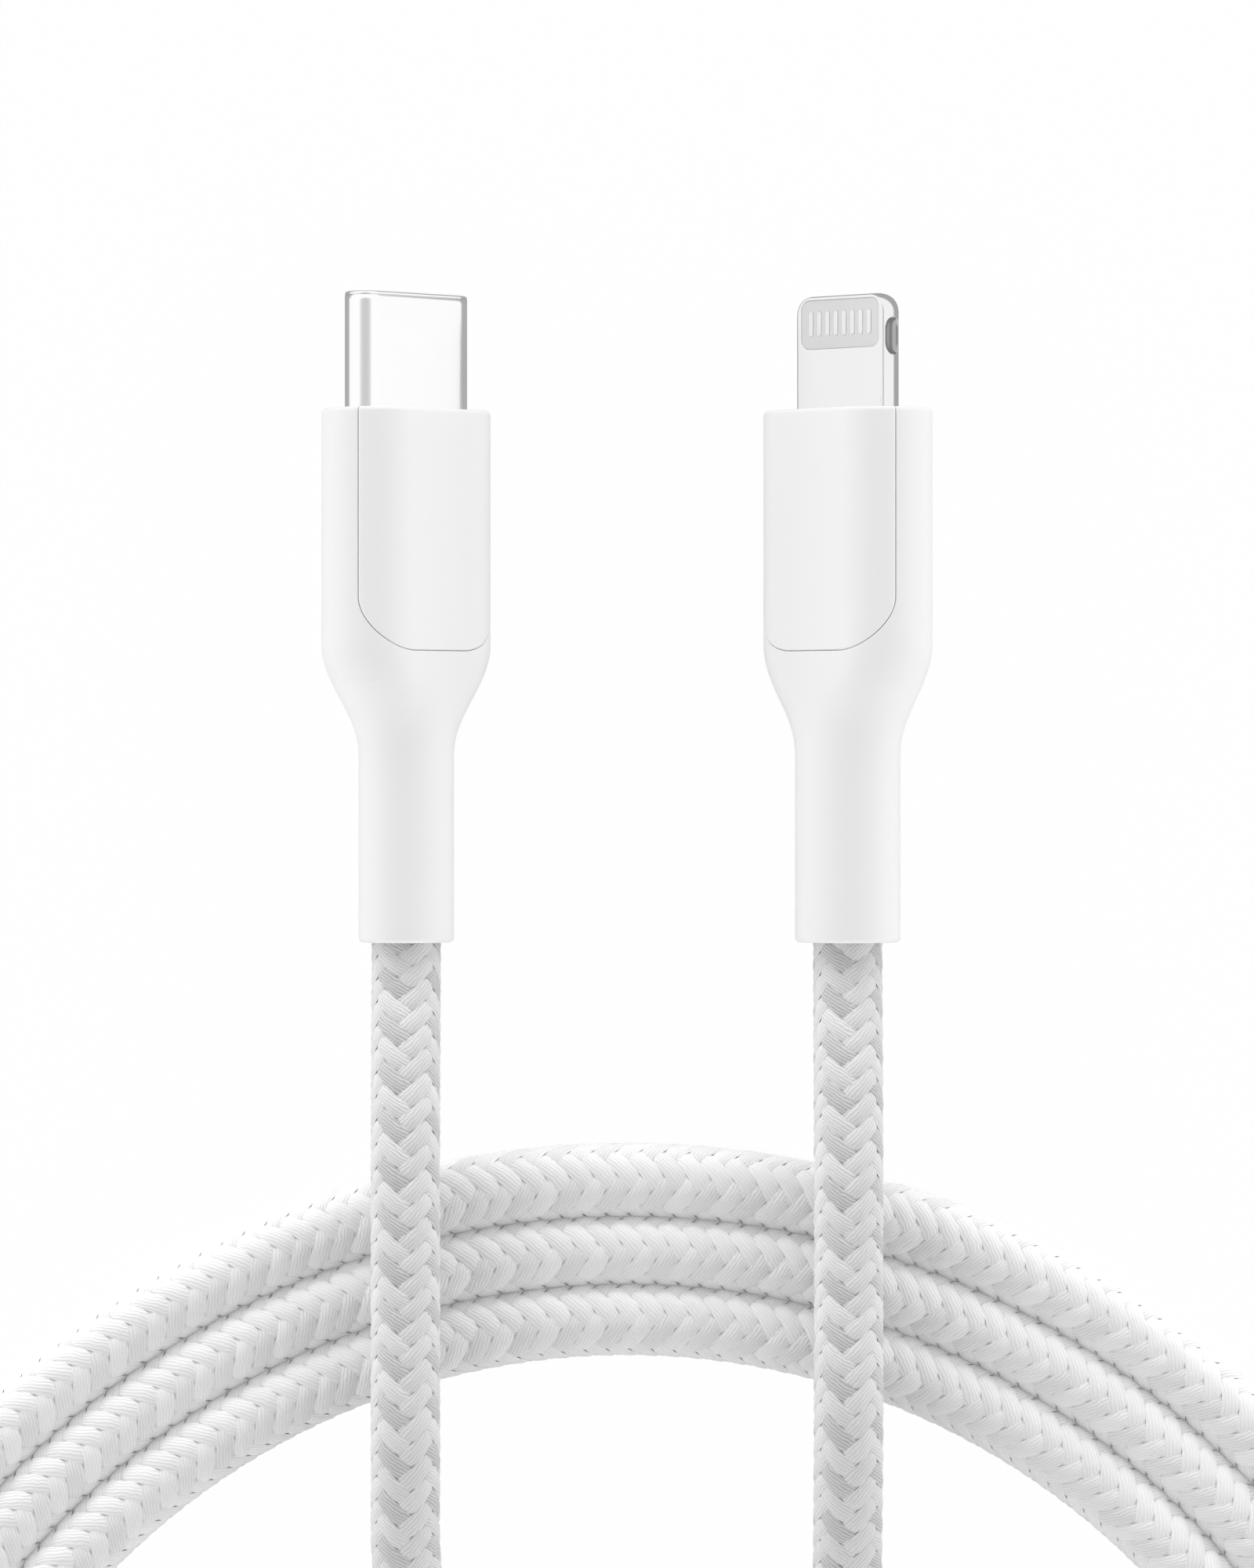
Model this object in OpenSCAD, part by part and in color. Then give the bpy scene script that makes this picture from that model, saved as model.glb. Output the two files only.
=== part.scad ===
// Charging cable: a braided lead with an oval plug at one end and a blade plug at the other.
// It lies on a table with the middle of the lead coiled, and both plugs side by side, tips away.
// X runs to the right, Y toward the plug tips and Z up; the table is Z = 0. All sizes in mm.

/* [Lead] */
// Diameter over the braid
lead_d = 4.0; // [3:0.1:6]
// Step from one lane of the coil to the next
lane_step = 3.9; // [3:0.1:6]
// Radius of the innermost full lane over its top
lane_radius = 43.8; // [35:0.1:60]

/* [Housings] */
// Width across the two round edges
housing_w = 10.6; // [9:0.1:13]
// Thickness over the two panels
housing_t = 6.3; // [5:0.1:8]
// Length of the part that is held
grip_len = 13.5; // [10:0.1:20]
// Length of the shoulder between grip and sleeve
shoulder_len = 6.25; // [4:0.05:9]
// Length of the whole housing, sleeve included
housing_len = 30.48; // [24:0.01:40]
// Sleeve diameter behind the oval plug
oval_sleeve_d = 5.5; // [5:0.05:8]
// Sleeve diameter behind the blade plug
blade_sleeve_d = 6.07; // [5:0.01:8]
// Round on the housing's outer edges
edge_r = 0.27; // [0.1:0.01:0.6]

/* [Panels] */
// Half of the panel's width, seen square on
panel_half_w = 4.8; // [3:0.1:5]
// Length from the mouth edge
panel_len = 13.8; // [8:0.1:16]
// Radius of the two lower corners
panel_corner_r = 3.0; // [1:0.1:4]
// Sheet thickness
panel_t = 0.5; // [0.3:0.05:0.8]
// Open seam all round
panel_seam = 0.09; // [0.05:0.01:0.2]

/* [Oval plug] */
// Shell width
shell_w = 8.25; // [8:0.01:8.4]
// Shell thickness
shell_t = 2.4; // [2.3:0.01:2.6]
// Shell length in front of the housing
shell_len = 6.65; // [6:0.01:7]
// Sheet thickness of the shell
shell_wall = 0.25; // [0.15:0.01:0.35]
// How far each latch arm springs outward, in degrees
latch_swing = 2.5; // [0:0.1:3]

/* [Blade plug] */
// Blade width
blade_w = 6.7; // [6.5:0.01:6.8]
// Blade thickness
blade_t = 1.5; // [1.4:0.01:1.6]
// Blade length in front of the housing
blade_len = 6.6; // [6:0.01:7]
// Step from contact to contact
blade_pitch = 0.60; // [0.5:0.01:0.8]

/* [Layout] */
// Half the distance between the two plug axes
plug_x = 12.65; // [10:0.05:20]
// How far each plug is rolled toward the other, in degrees
plug_roll = 40; // [0:1:60]

/* [Hidden] */
$fn = 48;
slack = 0.02;                                 // free play between nested pieces
mouth_y = (housing_len - shell_len) / 2;      // both housings' mouth plane
plug_z = (housing_w - housing_t) / 2 * sin(plug_roll) + housing_t / 2;
side_w = 0.433 * lead_d;                      // half-width of a lead pressed between its neighbours
inner_w = 8.9;                                // shield can, outside
inner_t = 4.0;
can_wall = 0.2;
can_front = -0.8;
can_back = -12.6;
ring_front = -17.4;
ring_back = -21.0;
lead_end = -17.0;
wire_start = -14.6;
arc_steps = 16;                               // flats round each half of the moulding
sleeve_flat = 0.08;                           // the sleeve is this much thinner than wide

// ---- Placing: a plug is drawn upright, tip along +Z, front face along +Y, mouth at Z = 0 ----

module at_plug(side) {
    translate([side * plug_x, mouth_y, plug_z])
        rotate([0, -side * plug_roll, 0])
            rotate([90, 0, 180])
                children();
}

module at_oval() {
    at_plug(-1) children();
}

module at_blade() {
    at_plug(1) children();
}

// ---- Shapes shared by both plugs ----

// Flat outline with two round ends, w wide and t thick
module stadium(w, t) {
    a = (w - t) / 2;
    if (a > 0.001) {
        square([2 * a, t], center = true);
    }
    for (s = [-1, 1]) {
        translate([s * a, 0]) circle(d = t);
    }
}

// Straight bar with that outline between two heights
module bar(w, t, z0, z1) {
    translate([0, 0, z0]) linear_extrude(z1 - z0) stadium(w, t);
}

function ease(u) = u * u * (3 - 2 * u);

// Stations of the moulding's outside from the mouth down: height, width and thickness
function stations(sleeve_d) = concat(
    [for (q = [0, 45, 90])
        let (in = edge_r * (1 - sin(q)), z = -edge_r * (1 - cos(q)))
        [z, housing_w - 2 * in, housing_t - 2 * in]],
    [for (i = [0:11])
        let (u = ease(i / 11))
        [-grip_len - shoulder_len * i / 11,
         housing_w + (sleeve_d - housing_w) * u,
         housing_t + (sleeve_d - sleeve_flat - housing_t) * u]],
    [for (q = [0, 45, 90])
        let (in = edge_r * (1 - cos(q)), z = -housing_len + edge_r * (1 - sin(q)))
        [z, sleeve_d - 2 * in, sleeve_d - sleeve_flat - 2 * in]]
);

// Corners of one station: the left-hand round end, then the right-hand one
function station_ring(s) = [for (side = [-1, 1], k = [0:arc_steps])
    let (q = side * 90 + 180 * k / arc_steps)
    [side * (s[1] - s[2]) / 2 * -1 + s[2] / 2 * cos(q), s[2] / 2 * sin(q), s[0]]];

// The moulding's outside: grip, shoulder and sleeve in one flowing skin
module moulding(sleeve_d) {
    s = stations(sleeve_d);
    n = 2 * (arc_steps + 1);
    skin = [for (i = [0:len(s) - 2], j = [0:n - 1])
        [i * n + j, i * n + (j + 1) % n, (i + 1) * n + (j + 1) % n, (i + 1) * n + j]];
    polyhedron([for (q = s) each station_ring(q)],
               concat([[for (j = [0:n - 1]) n - 1 - j]], skin,
                      [[for (j = [0:n - 1]) (len(s) - 1) * n + j]]),
               convexity = 10);
}

// Square-on outline of a panel, grown by the seam for its recess
module panel_outline(grow) {
    w = panel_half_w + grow;
    r = panel_corner_r + grow;
    bottom = -panel_len - grow;
    translate([-w, bottom + r]) square([2 * w, 3 - bottom - r]);
    translate([-w + r, bottom]) square([2 * (w - r), r + 1]);
    for (s = [-1, 1]) {
        translate([s * (w - r), bottom + r]) circle(r);
    }
}

// Everything outside the glue face, under that outline, on the side of +Y; the sides are cut
// square to the skin
module panel_zone(grow, glue) {
    depth = panel_t + glue;
    a = (housing_w - housing_t) / 2;
    q = asin((panel_half_w - a) / (housing_t / 2));
    foot = [a + grow * cos(q), -grow * sin(q)];
    rim = foot + housing_t * [sin(q), cos(q)];
    intersection() {
        rotate([90, 0, 0]) mirror([0, 0, 1]) linear_extrude(housing_t) panel_outline(grow);
        translate([0, 0, -panel_len - 2]) linear_extrude(panel_len + 6) difference() {
            polygon([[-foot[0], foot[1]], foot, rim, [rim[0], housing_t], [-rim[0], housing_t],
                     [-rim[0], rim[1]]]);
            stadium(housing_w - 2 * depth, housing_t - 2 * depth);
        }
    }
}

module front_panel(sleeve_d) {
    intersection() {
        moulding(sleeve_d);
        panel_zone(0, 0);
    }
    // two pads on the inside bear on the floor of the recess
    for (z = [-10.5, -5]) {
        translate([-1.5, housing_t / 2 - panel_t - 0.05, z]) cube([3, 0.1, 3]);
    }
}

module housing(sleeve_d, nose_w, nose_t, nose_round) {
    difference() {
        moulding(sleeve_d);
        panel_zone(panel_seam, 0.05);
        mirror([0, 1, 0]) panel_zone(panel_seam, 0.05);
        // mouth
        if (nose_round) {
            bar(nose_w + 2 * slack, nose_t + 2 * slack, -2, 1);
        } else {
            translate([0, 0, -0.5])
                cube([nose_w + 2 * slack, nose_t + 2 * slack, 3], center = true);
        }
        // room for the shield can, the inner mould, the crimp ring and the lead
        bar(inner_w + 2 * slack, inner_t + 2 * slack, can_back - 0.2, can_front);
        bar(7.44, 4.04, -15, can_back);
        bar(5.64, 4.04, -17.3, -14.9);
        translate([0, 0, ring_back - 0.03]) cylinder(r = 2.33, h = 3.9);
        translate([0, 0, -40]) cylinder(r = lead_d / 2 + 0.04, h = 24);
    }
}

// Half of the pressed shield can on the side of +Y
module shield_half(nose_w, nose_t, nose_round) {
    difference() {
        bar(inner_w, inner_t, can_back, can_front);
        bar(inner_w - 2 * can_wall, inner_t - 2 * can_wall, can_back + can_wall, can_front - can_wall);
        translate([0, -5, -7]) cube([20, 10, 20], center = true);
        // window for the nose, and the opening for the wires
        if (nose_round) {
            bar(nose_w + 2 * slack, nose_t + 2 * slack, -2, 1);
        } else {
            translate([0, 0, -0.8])
                cube([nose_w + 2 * slack, nose_t + 2 * slack, 1], center = true);
        }
        bar(5.6, 2.9, can_back - 1, can_back + 1);
    }
}

// Moulded filling behind the can, open inside where the wires fan out
module inner_mould() {
    difference() {
        union() {
            bar(7.4, 4.0, -15, can_back);
            bar(5.6, 4.0, lead_end, -15);
        }
        bar(5.6, 3.0, -14.5, -12);
        translate([0, 0, -18]) cylinder(r = 1.62, h = 5);
    }
}

// Metal ring pressed round the lead behind the mould
module crimp_ring() {
    difference() {
        translate([0, 0, ring_back]) cylinder(r = 2.3, h = ring_front - ring_back);
        translate([0, 0, ring_back - 1]) cylinder(r = lead_d / 2 + 0.02, h = 6);
    }
}

// Bare inner jacket between the braid's end and the wires
module jacket_end() {
    translate([0, 0, lead_end]) cylinder(r = 1.6, h = wire_start - lead_end);
}

// A wire from its place in the jacket to its pad on the board, on the side of s
module wire(x0, y0, x1, y1, r) {
    tube([[x0, y0, wire_start], [x0, y0, wire_start + 0.5], [x1, y1, -12.3], [x1, y1, -10.6]], r, 6);
}

// A pair of like wires, mirrored left to right
module wire_pair(side, board_t, r) {
    for (s = [-1, 1]) {
        wire(s * 0.72, side * 0.62, s * 1.75, side * (board_t / 2 + r), r);
    }
}

module data_pair(board_t) {
    for (s = [-1, 1]) {
        wire(0, s * 1.05, 0, s * (board_t / 2 + 0.24), 0.24);
    }
}

// A drop of solder with sloping sides, standing on the board
module solder_drop(x, side, board_t, z, w, len) {
    y = board_t / 2;
    translate([x, 0, z])
        rotate([90, 0, 90])
            translate([0, 0, -w / 2])
                linear_extrude(w)
                    polygon([[side * y, 0], [side * y, len], [side * (y + 0.3), len * 0.6],
                             [side * (y + 0.34), 0]]);
}

// The six drops that hold the wires down, each against the wire's cut end
module wire_drops(board_t) {
    for (s = [-1, 1]) {
        for (x = [-1.75, 1.75]) {
            solder_drop(x, s, board_t, -10.6, 0.8, 0.9);
        }
        solder_drop(0, s, board_t, -10.6, 0.5, 0.7);
    }
}

// A small part that stands on the board
module chip(x, side, board_t, z, w, len, h) {
    translate([x - w / 2, side > 0 ? board_t / 2 : -board_t / 2 - h, z]) cube([w, h, len]);
}

// ---- Swept tube: sections stand square to the route, caps are flat ----

function unit(v) = v / norm(v);

function heading(p, i) = unit(p[min(i + 1, len(p) - 1)] - p[max(i - 1, 0)]);

function side_of(t) = unit(cross(t, abs(t[2]) > 0.8 ? [0, 1, 0] : [0, 0, 1]));

module sweep(path, section) {
    n = len(section);
    points = [for (i = [0:len(path) - 1])
        let (t = heading(path, i), a = side_of(t), b = unit(cross(a, t)))
        for (q = section) path[i] + q[0] * a + q[1] * b];
    sides = [for (i = [0:len(path) - 2], j = [0:n - 1])
        let (k = (j + 1) % n, p = i * n, q = p + n)
        each [[p + j, p + k, q + k], [p + j, q + k, q + j]]];
    first = [for (j = [0:n - 1]) n - 1 - j];
    last = [for (j = [0:n - 1]) (len(path) - 1) * n + j];
    polyhedron(points, concat([first], sides, [last]), convexity = 10);
}

module tube(path, r, n) {
    sweep(path, [for (j = [0:n - 1]) r * [cos((j + 0.5) * 360 / n), sin((j + 0.5) * 360 / n)]]);
}

// ---- Oval plug ----

inner_shell_w = shell_w - 2 * shell_wall;
inner_shell_t = shell_t - 2 * shell_wall;
oval_board_t = 0.8;
slot_half = 0.5;                              // half the height of the slot
slot_w = 6.9;
contact_w = 0.24;
contact_pitch = 0.5;
upper_places = [for (i = [0:11]) i];
lower_places = [for (i = [0:11]) if (i != 5 && i != 6) i];
hinge_x = 3.4;
hinge_z = -0.5;

function contact_x(i) = (i - 5.5) * contact_pitch;

module oval_plug_housing() {
    color("lightgray") at_oval() housing(oval_sleeve_d, shell_w, shell_t, true);
}

module oval_plug_front_panel() {
    color("white") at_oval() front_panel(oval_sleeve_d);
}

module oval_plug_back_panel() {
    color("white") at_oval() mirror([0, 1, 0]) front_panel(oval_sleeve_d);
}

// Section of the shell's wall, rolled round at the lip
module shell_wall_section() {
    r = shell_t / 2;
    lip = 0.2;
    translate([r - shell_wall, -4]) square([shell_wall, shell_len + 4 - lip]);
    intersection() {
        translate([r - lip, shell_len - lip]) circle(lip);
        translate([r - shell_wall, shell_len - lip]) square([shell_wall, lip]);
    }
}

// Drawn steel shell: two half-round ends joined by two flats
module oval_plug_shell() {
    a = (shell_w - shell_t) / 2;
    color("silver") at_oval() {
        for (s = [0, 180]) {
            rotate([0, 0, s]) {
                translate([a, 0, 0]) rotate([0, 0, -90]) rotate_extrude(angle = 180) shell_wall_section();
                translate([-a, 0, 0]) rotate([90, 0, 90]) linear_extrude(2 * a) shell_wall_section();
            }
        }
    }
}

// Plastic block in the shell: a slot at the mouth, a groove for every contact, pockets for the latch
module oval_plug_insulator() {
    color("dimgray") at_oval() difference() {
        bar(inner_shell_w - 0.1, inner_shell_t, -2.4, 6.35);
        translate([-slot_w / 2, -slot_half, 0.9]) cube([slot_w, 2 * slot_half, 8]);
        for (i = upper_places) {
            translate([contact_x(i) - 0.14, 0.4, -3]) cube([0.28, 0.4, 7.9]);
        }
        for (i = lower_places) {
            translate([contact_x(i) - 0.14, -0.8, -3]) cube([0.28, 0.4, 7.9]);
        }
        // ground springs lie in shallow pockets at the mouth
        for (s = [0, 1]) {
            mirror([0, s, 0]) translate([-2.95, 0.45, 5.1]) cube([5.9, 0.2, 3]);
        }
        // latch: a slit for the base, and an open pocket for each arm
        translate([-3.6, -0.16, -3]) cube([7.2, 0.32, 2]);
        for (s = [-1, 1]) {
            translate([s * 3.75 - 0.5, -0.35, -3]) cube([1, 0.7, 9]);
        }
    }
}

// Side view of a contact from its foot on the board to its tip: [y, z] of the middle line
contact_line = [[0.47, -4.4], [0.47, -3.1], [0.62, -2.5], [0.64, 3.0], [0.36, 4.1], [0.5, 4.7]];

module contact(i, side) {
    h = 0.07;
    outer = [for (p = contact_line) [side * (p[0] + h), p[1]]];
    inner = [for (k = [1:len(contact_line)])
        let (p = contact_line[len(contact_line) - k]) [side * (p[0] - h), p[1]]];
    translate([contact_x(i) - contact_w / 2, 0, 0])
        rotate([90, 0, 90]) linear_extrude(contact_w) polygon(concat(outer, inner));
}

module oval_plug_upper_contacts() {
    color("gold") at_oval() for (i = upper_places) {
        contact(i, 1);
    }
}

module oval_plug_lower_contacts() {
    color("gold") at_oval() for (i = lower_places) {
        contact(i, -1);
    }
}

// The fixed foot of the retention latch, crossing behind the slot
module oval_plug_latch_base() {
    color("silver") at_oval() {
        translate([-3.5, -0.15, -1.6]) cube([7.0, 0.3, 0.6]);
        for (s = [-1, 1]) {
            translate([s * hinge_x - 0.1, -0.3, -1.6]) cube([0.2, 0.6, 0.98]);
        }
    }
}

// One sprung arm with its hook, on the side of s
module latch_arm(s) {
    rotate([90, 0, 0]) translate([0, 0, -0.3]) linear_extrude(0.6) {
        translate([s * hinge_x, hinge_z]) circle(0.1);
        polygon([[s * 3.5, hinge_z], [s * 3.5, 5.0], [s * 3.36, 5.0], [s * 3.05, 4.45],
                 [s * 3.05, 4.2], [s * 3.3, 3.7], [s * 3.3, hinge_z]]);
    }
}

module oval_plug_latch_left() {
    color("silver") at_oval() latch_arm(1);
}

module oval_plug_latch_right() {
    color("silver") at_oval() latch_arm(-1);
}

// Springy ground plate: a strip with four fingers that bow into the slot
module ground_spring(side) {
    y0 = 0.55;
    y1 = 0.65;
    translate([-2.85, side > 0 ? y0 : -y1, 5.15]) cube([5.7, y1 - y0, 0.35]);
    for (x = [-2.1, -0.7, 0.7, 2.1]) {
        translate([x - 0.3, 0, 0])
            rotate([90, 0, 90]) linear_extrude(0.6)
                polygon([for (p = [[y0, 5.5], [0.42, 5.9], [0.5, 6.25], [0.6, 6.25], [0.52, 5.9], [y1, 5.5]])
                    [side * p[0], p[1]]]);
    }
}

module oval_plug_upper_ground_spring() {
    color("silver") at_oval() ground_spring(1);
}

module oval_plug_lower_ground_spring() {
    color("silver") at_oval() ground_spring(-1);
}

module oval_plug_board() {
    color("green") at_oval() translate([-3.5, -oval_board_t / 2, -11.5]) cube([7.0, oval_board_t, 8.6]);
}

module oval_plug_chips() {
    color("black") at_oval() {
        chip(0, 1, oval_board_t, -8.8, 2.6, 2.6, 0.8);
        chip(0, -1, oval_board_t, -8.4, 2.0, 2.0, 0.7);
        for (s = [-1, 1]) {
            chip(s * 2.4, 1, oval_board_t, -8.4, 0.6, 1.1, 0.45);
            chip(s * 2.3, -1, oval_board_t, -7.6, 0.5, 0.9, 0.4);
            chip(s * 2.9, 1, oval_board_t, -6.6, 0.5, 0.8, 0.4);
        }
    }
}

module oval_plug_solder_joints() {
    color("lightslategray") at_oval() {
        for (i = upper_places) {
            mirror([0, 0, 1]) solder_drop(contact_x(i), 1, oval_board_t, 4.4, 0.3, 0.45);
        }
        for (i = lower_places) {
            mirror([0, 0, 1]) solder_drop(contact_x(i), -1, oval_board_t, 4.4, 0.3, 0.45);
        }
        wire_drops(oval_board_t);
    }
}

module oval_plug_upper_shield() {
    color("gainsboro") at_oval() shield_half(shell_w, shell_t, true);
}

module oval_plug_lower_shield() {
    color("gainsboro") at_oval() mirror([0, 1, 0]) shield_half(shell_w, shell_t, true);
}

module oval_plug_inner_mould() {
    color("ivory") at_oval() inner_mould();
}

module oval_plug_crimp_ring() {
    color("silver") at_oval() crimp_ring();
}

module oval_plug_jacket_end() {
    color("whitesmoke") at_oval() jacket_end();
}

module oval_plug_power_wires() {
    color("red") at_oval() wire_pair(1, oval_board_t, 0.42);
}

module oval_plug_ground_wires() {
    color("black") at_oval() wire_pair(-1, oval_board_t, 0.42);
}

module oval_plug_data_wires() {
    color("green") at_oval() data_pair(oval_board_t);
}

// ---- Blade plug ----

blade_board_t = 0.5;
window_w = 5.6;
window_low = 3.53;
window_high = 6.33;
pad_low = 4.28;
pad_high = 5.68;
pad_w = 0.28;

function pad_x(i) = (i - 3.5) * blade_pitch;

// Slot-shaped outline of one contact, upright
module pad_outline(grow) {
    w = pad_w + 2 * grow;
    translate([-w / 2, pad_low + pad_w / 2]) square([w, pad_high - pad_low - pad_w]);
    for (z = [pad_low + pad_w / 2, pad_high - pad_w / 2]) {
        translate([0, z]) circle(d = w, $fn = 16);
    }
}

// Square with four round corners, in the plane of the blade
module round_plate(w, z0, z1, r, square_foot) {
    translate([-w / 2 + r, z0]) square([w - 2 * r, z1 - z0]);
    translate([-w / 2, square_foot ? z0 : z0 + r]) square([w, z1 - r - (square_foot ? z0 : z0 + r)]);
    for (s = [-1, 1], z = square_foot ? [z1 - r] : [z0 + r, z1 - r]) {
        translate([s * (w / 2 - r), z]) circle(r);
    }
}

// Lays an outline drawn in the plane of the blade flat across its thickness
module through(t) {
    rotate([90, 0, 0]) translate([0, 0, -t / 2]) linear_extrude(t) children();
}

module blade_plug_housing() {
    color("lightgray") at_blade() housing(blade_sleeve_d, blade_w, blade_t, false);
}

module blade_plug_front_panel() {
    color("white") at_blade() front_panel(blade_sleeve_d);
}

module blade_plug_back_panel() {
    color("white") at_blade() mirror([0, 1, 0]) front_panel(blade_sleeve_d);
}

// Steel frame: a window through it, a scoop in each side, and a wider foot inside the can
module blade_plug_blade() {
    color("silver") at_blade() difference() {
        union() {
            through(blade_t) round_plate(blade_w, -1.1, blade_len, 1.1, true);
            translate([-3.9, -blade_t / 2, -3.0]) cube([7.8, blade_t, 2.0]);
        }
        through(3) round_plate(window_w, window_low, window_high, 0.55, false);
        // the board slides in from behind
        translate([-2.62, -0.29, -4]) cube([5.24, 0.58, 8]);
        for (s = [-1, 1]) {
            translate([s * 4.95, 0, 4.125]) through(1.0) circle(1.9);
        }
    }
}

module blade_plug_insulator() {
    color("gray") at_blade() difference() {
        through(1.42) round_plate(window_w - 0.02, window_low + 0.01, window_high - 0.01, 0.54, false);
        translate([-2.52, -blade_board_t / 2 - 0.01, 0]) cube([5.04, blade_board_t + 0.02, 5.87]);
        for (i = [0:7]) {
            translate([pad_x(i), 0, 0]) through(3) pad_outline(0.01);
        }
    }
}

// Eight gilded pads, standing on the board and level with the window
module pad_row() {
    for (i = [0:7]) {
        translate([pad_x(i), 0, 0])
            rotate([90, 0, 0]) translate([0, 0, -0.74]) linear_extrude(0.74 - blade_board_t / 2)
                pad_outline(0);
    }
}

module blade_plug_front_contacts() {
    color("gold") at_blade() pad_row();
}

module blade_plug_back_contacts() {
    color("gold") at_blade() mirror([0, 1, 0]) pad_row();
}

module blade_plug_board() {
    color("green") at_blade() through(blade_board_t)
        polygon([[-3.5, -11.5], [3.5, -11.5], [3.5, -3.0], [2.5, -3.0], [2.5, 5.85], [-2.5, 5.85],
                 [-2.5, -3.0], [-3.5, -3.0]]);
}

module blade_plug_chips() {
    color("black") at_blade() {
        chip(0, 1, blade_board_t, -8.6, 2.8, 2.8, 0.8);
        chip(0, -1, blade_board_t, -7.8, 1.8, 2.4, 0.7);
        for (s = [-1, 1]) {
            chip(s * 2.5, 1, blade_board_t, -7.6, 0.6, 1.1, 0.45);
            chip(s * 2.3, -1, blade_board_t, -6.8, 0.5, 0.9, 0.4);
        }
    }
}

module blade_plug_solder_joints() {
    color("lightslategray") at_blade() {
        wire_drops(blade_board_t);
        // the foot is soldered to the board's shoulders
        for (s = [-1, 1], x = [-3.1, 3.1]) {
            mirror([0, 0, 1]) solder_drop(x, s, blade_board_t, 3.0, 0.5, 0.5);
        }
    }
}

module blade_plug_upper_shield() {
    color("gainsboro") at_blade() shield_half(blade_w, blade_t, false);
}

module blade_plug_lower_shield() {
    color("gainsboro") at_blade() mirror([0, 1, 0]) shield_half(blade_w, blade_t, false);
}

module blade_plug_inner_mould() {
    color("ivory") at_blade() inner_mould();
}

module blade_plug_crimp_ring() {
    color("silver") at_blade() crimp_ring();
}

module blade_plug_jacket_end() {
    color("whitesmoke") at_blade() jacket_end();
}

module blade_plug_power_wires() {
    color("red") at_blade() wire_pair(1, blade_board_t, 0.42);
}

module blade_plug_ground_wires() {
    color("black") at_blade() wire_pair(-1, blade_board_t, 0.42);
}

module blade_plug_data_wires() {
    color("green") at_blade() data_pair(blade_board_t);
}

// ---- Lead ----

arc_y = -84;                                  // centre of the arc over the coil's top
arc_half = 48;                                // the top arc runs this many degrees each way
shoulder_r = 12;                              // tighter arc at each side
lift = 0.4875 * lead_d;                       // height of a strand that lies on the table
over = 1.5 * lead_d;                          // height of a strand that crosses another

// A lane of the coil at bearing h, clockwise from the top, d outside the inner lane
function lane(h, d) =
    let (k = (h % 360 + 360) % 360, a = k > 180 ? k - 360 : k, s = a < 0 ? -1 : 1, b = abs(a),
         cx = (lane_radius - shoulder_r) * sin(arc_half),
         cy = arc_y + (lane_radius - shoulder_r) * cos(arc_half))
    b <= arc_half ? [s * (lane_radius + d) * sin(b), arc_y + (lane_radius + d) * cos(b)]
    : b <= 90 ? [s * (cx + (shoulder_r + d) * sin(b)), cy + (shoulder_r + d) * cos(b)]
    : [s * (cx + shoulder_r + d) * sin(b), cy - 3 * ease((b - 90) / 90) + (cx + shoulder_r + d) * cos(b)];

// Each turn steps out by one lane across the bottom
function lane_out(h) =
    let (turn = floor(h / 360), part = (h - 360 * turn - 110) / 140)
    lane_step * (turn + ease(min(1, max(0, part))));

function coil_at(h) = lane(h, h < 0 ? 0 : lane_out(h));

coil_from = -105;                             // bearings of the coil's two ends
coil_to = 765;
coil_rings = [for (h = [coil_from:15:coil_to - 10]) coil_at(h)];
coil_in = unit(coil_at(coil_from + 2) - coil_at(coil_from));
coil_last = coil_at(coil_to);
coil_out = unit(coil_last - coil_at(coil_to - 2));
coil_flat = concat([coil_rings[0] - lead_d * coil_in], coil_rings,
                   [coil_last, coil_last + lead_d * coil_out]);
coil_path = [for (p = coil_flat) [p[0], p[1], lift]];
coil_start = coil_path[0];
coil_end = coil_path[len(coil_path) - 1];

// Section of a strand that its neighbours press from both sides
strand_section = [[side_w, 0], [0.275 * lead_d, lift], [-0.275 * lead_d, lift],
                  [-side_w, 0], [-0.275 * lead_d, -lift], [0.275 * lead_d, -lift]];

// Least gap between any two strands, on the points of the route
least = min([for (i = [0:len(coil_flat) - 13], j = [i + 12:len(coil_flat) - 1])
    norm(coil_flat[j] - coil_flat[i])]);
echo(coil_least_gap = least - 2 * side_w);

// Points of a bend on the table plane: centre, radius, bearings from the right, and their heights
function bend(x, y, r, bearings, heights) = [for (i = [0:len(bearings) - 1])
    [x + r * cos(bearings[i]), y + r * sin(bearings[i]), heights[i]]];

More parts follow.
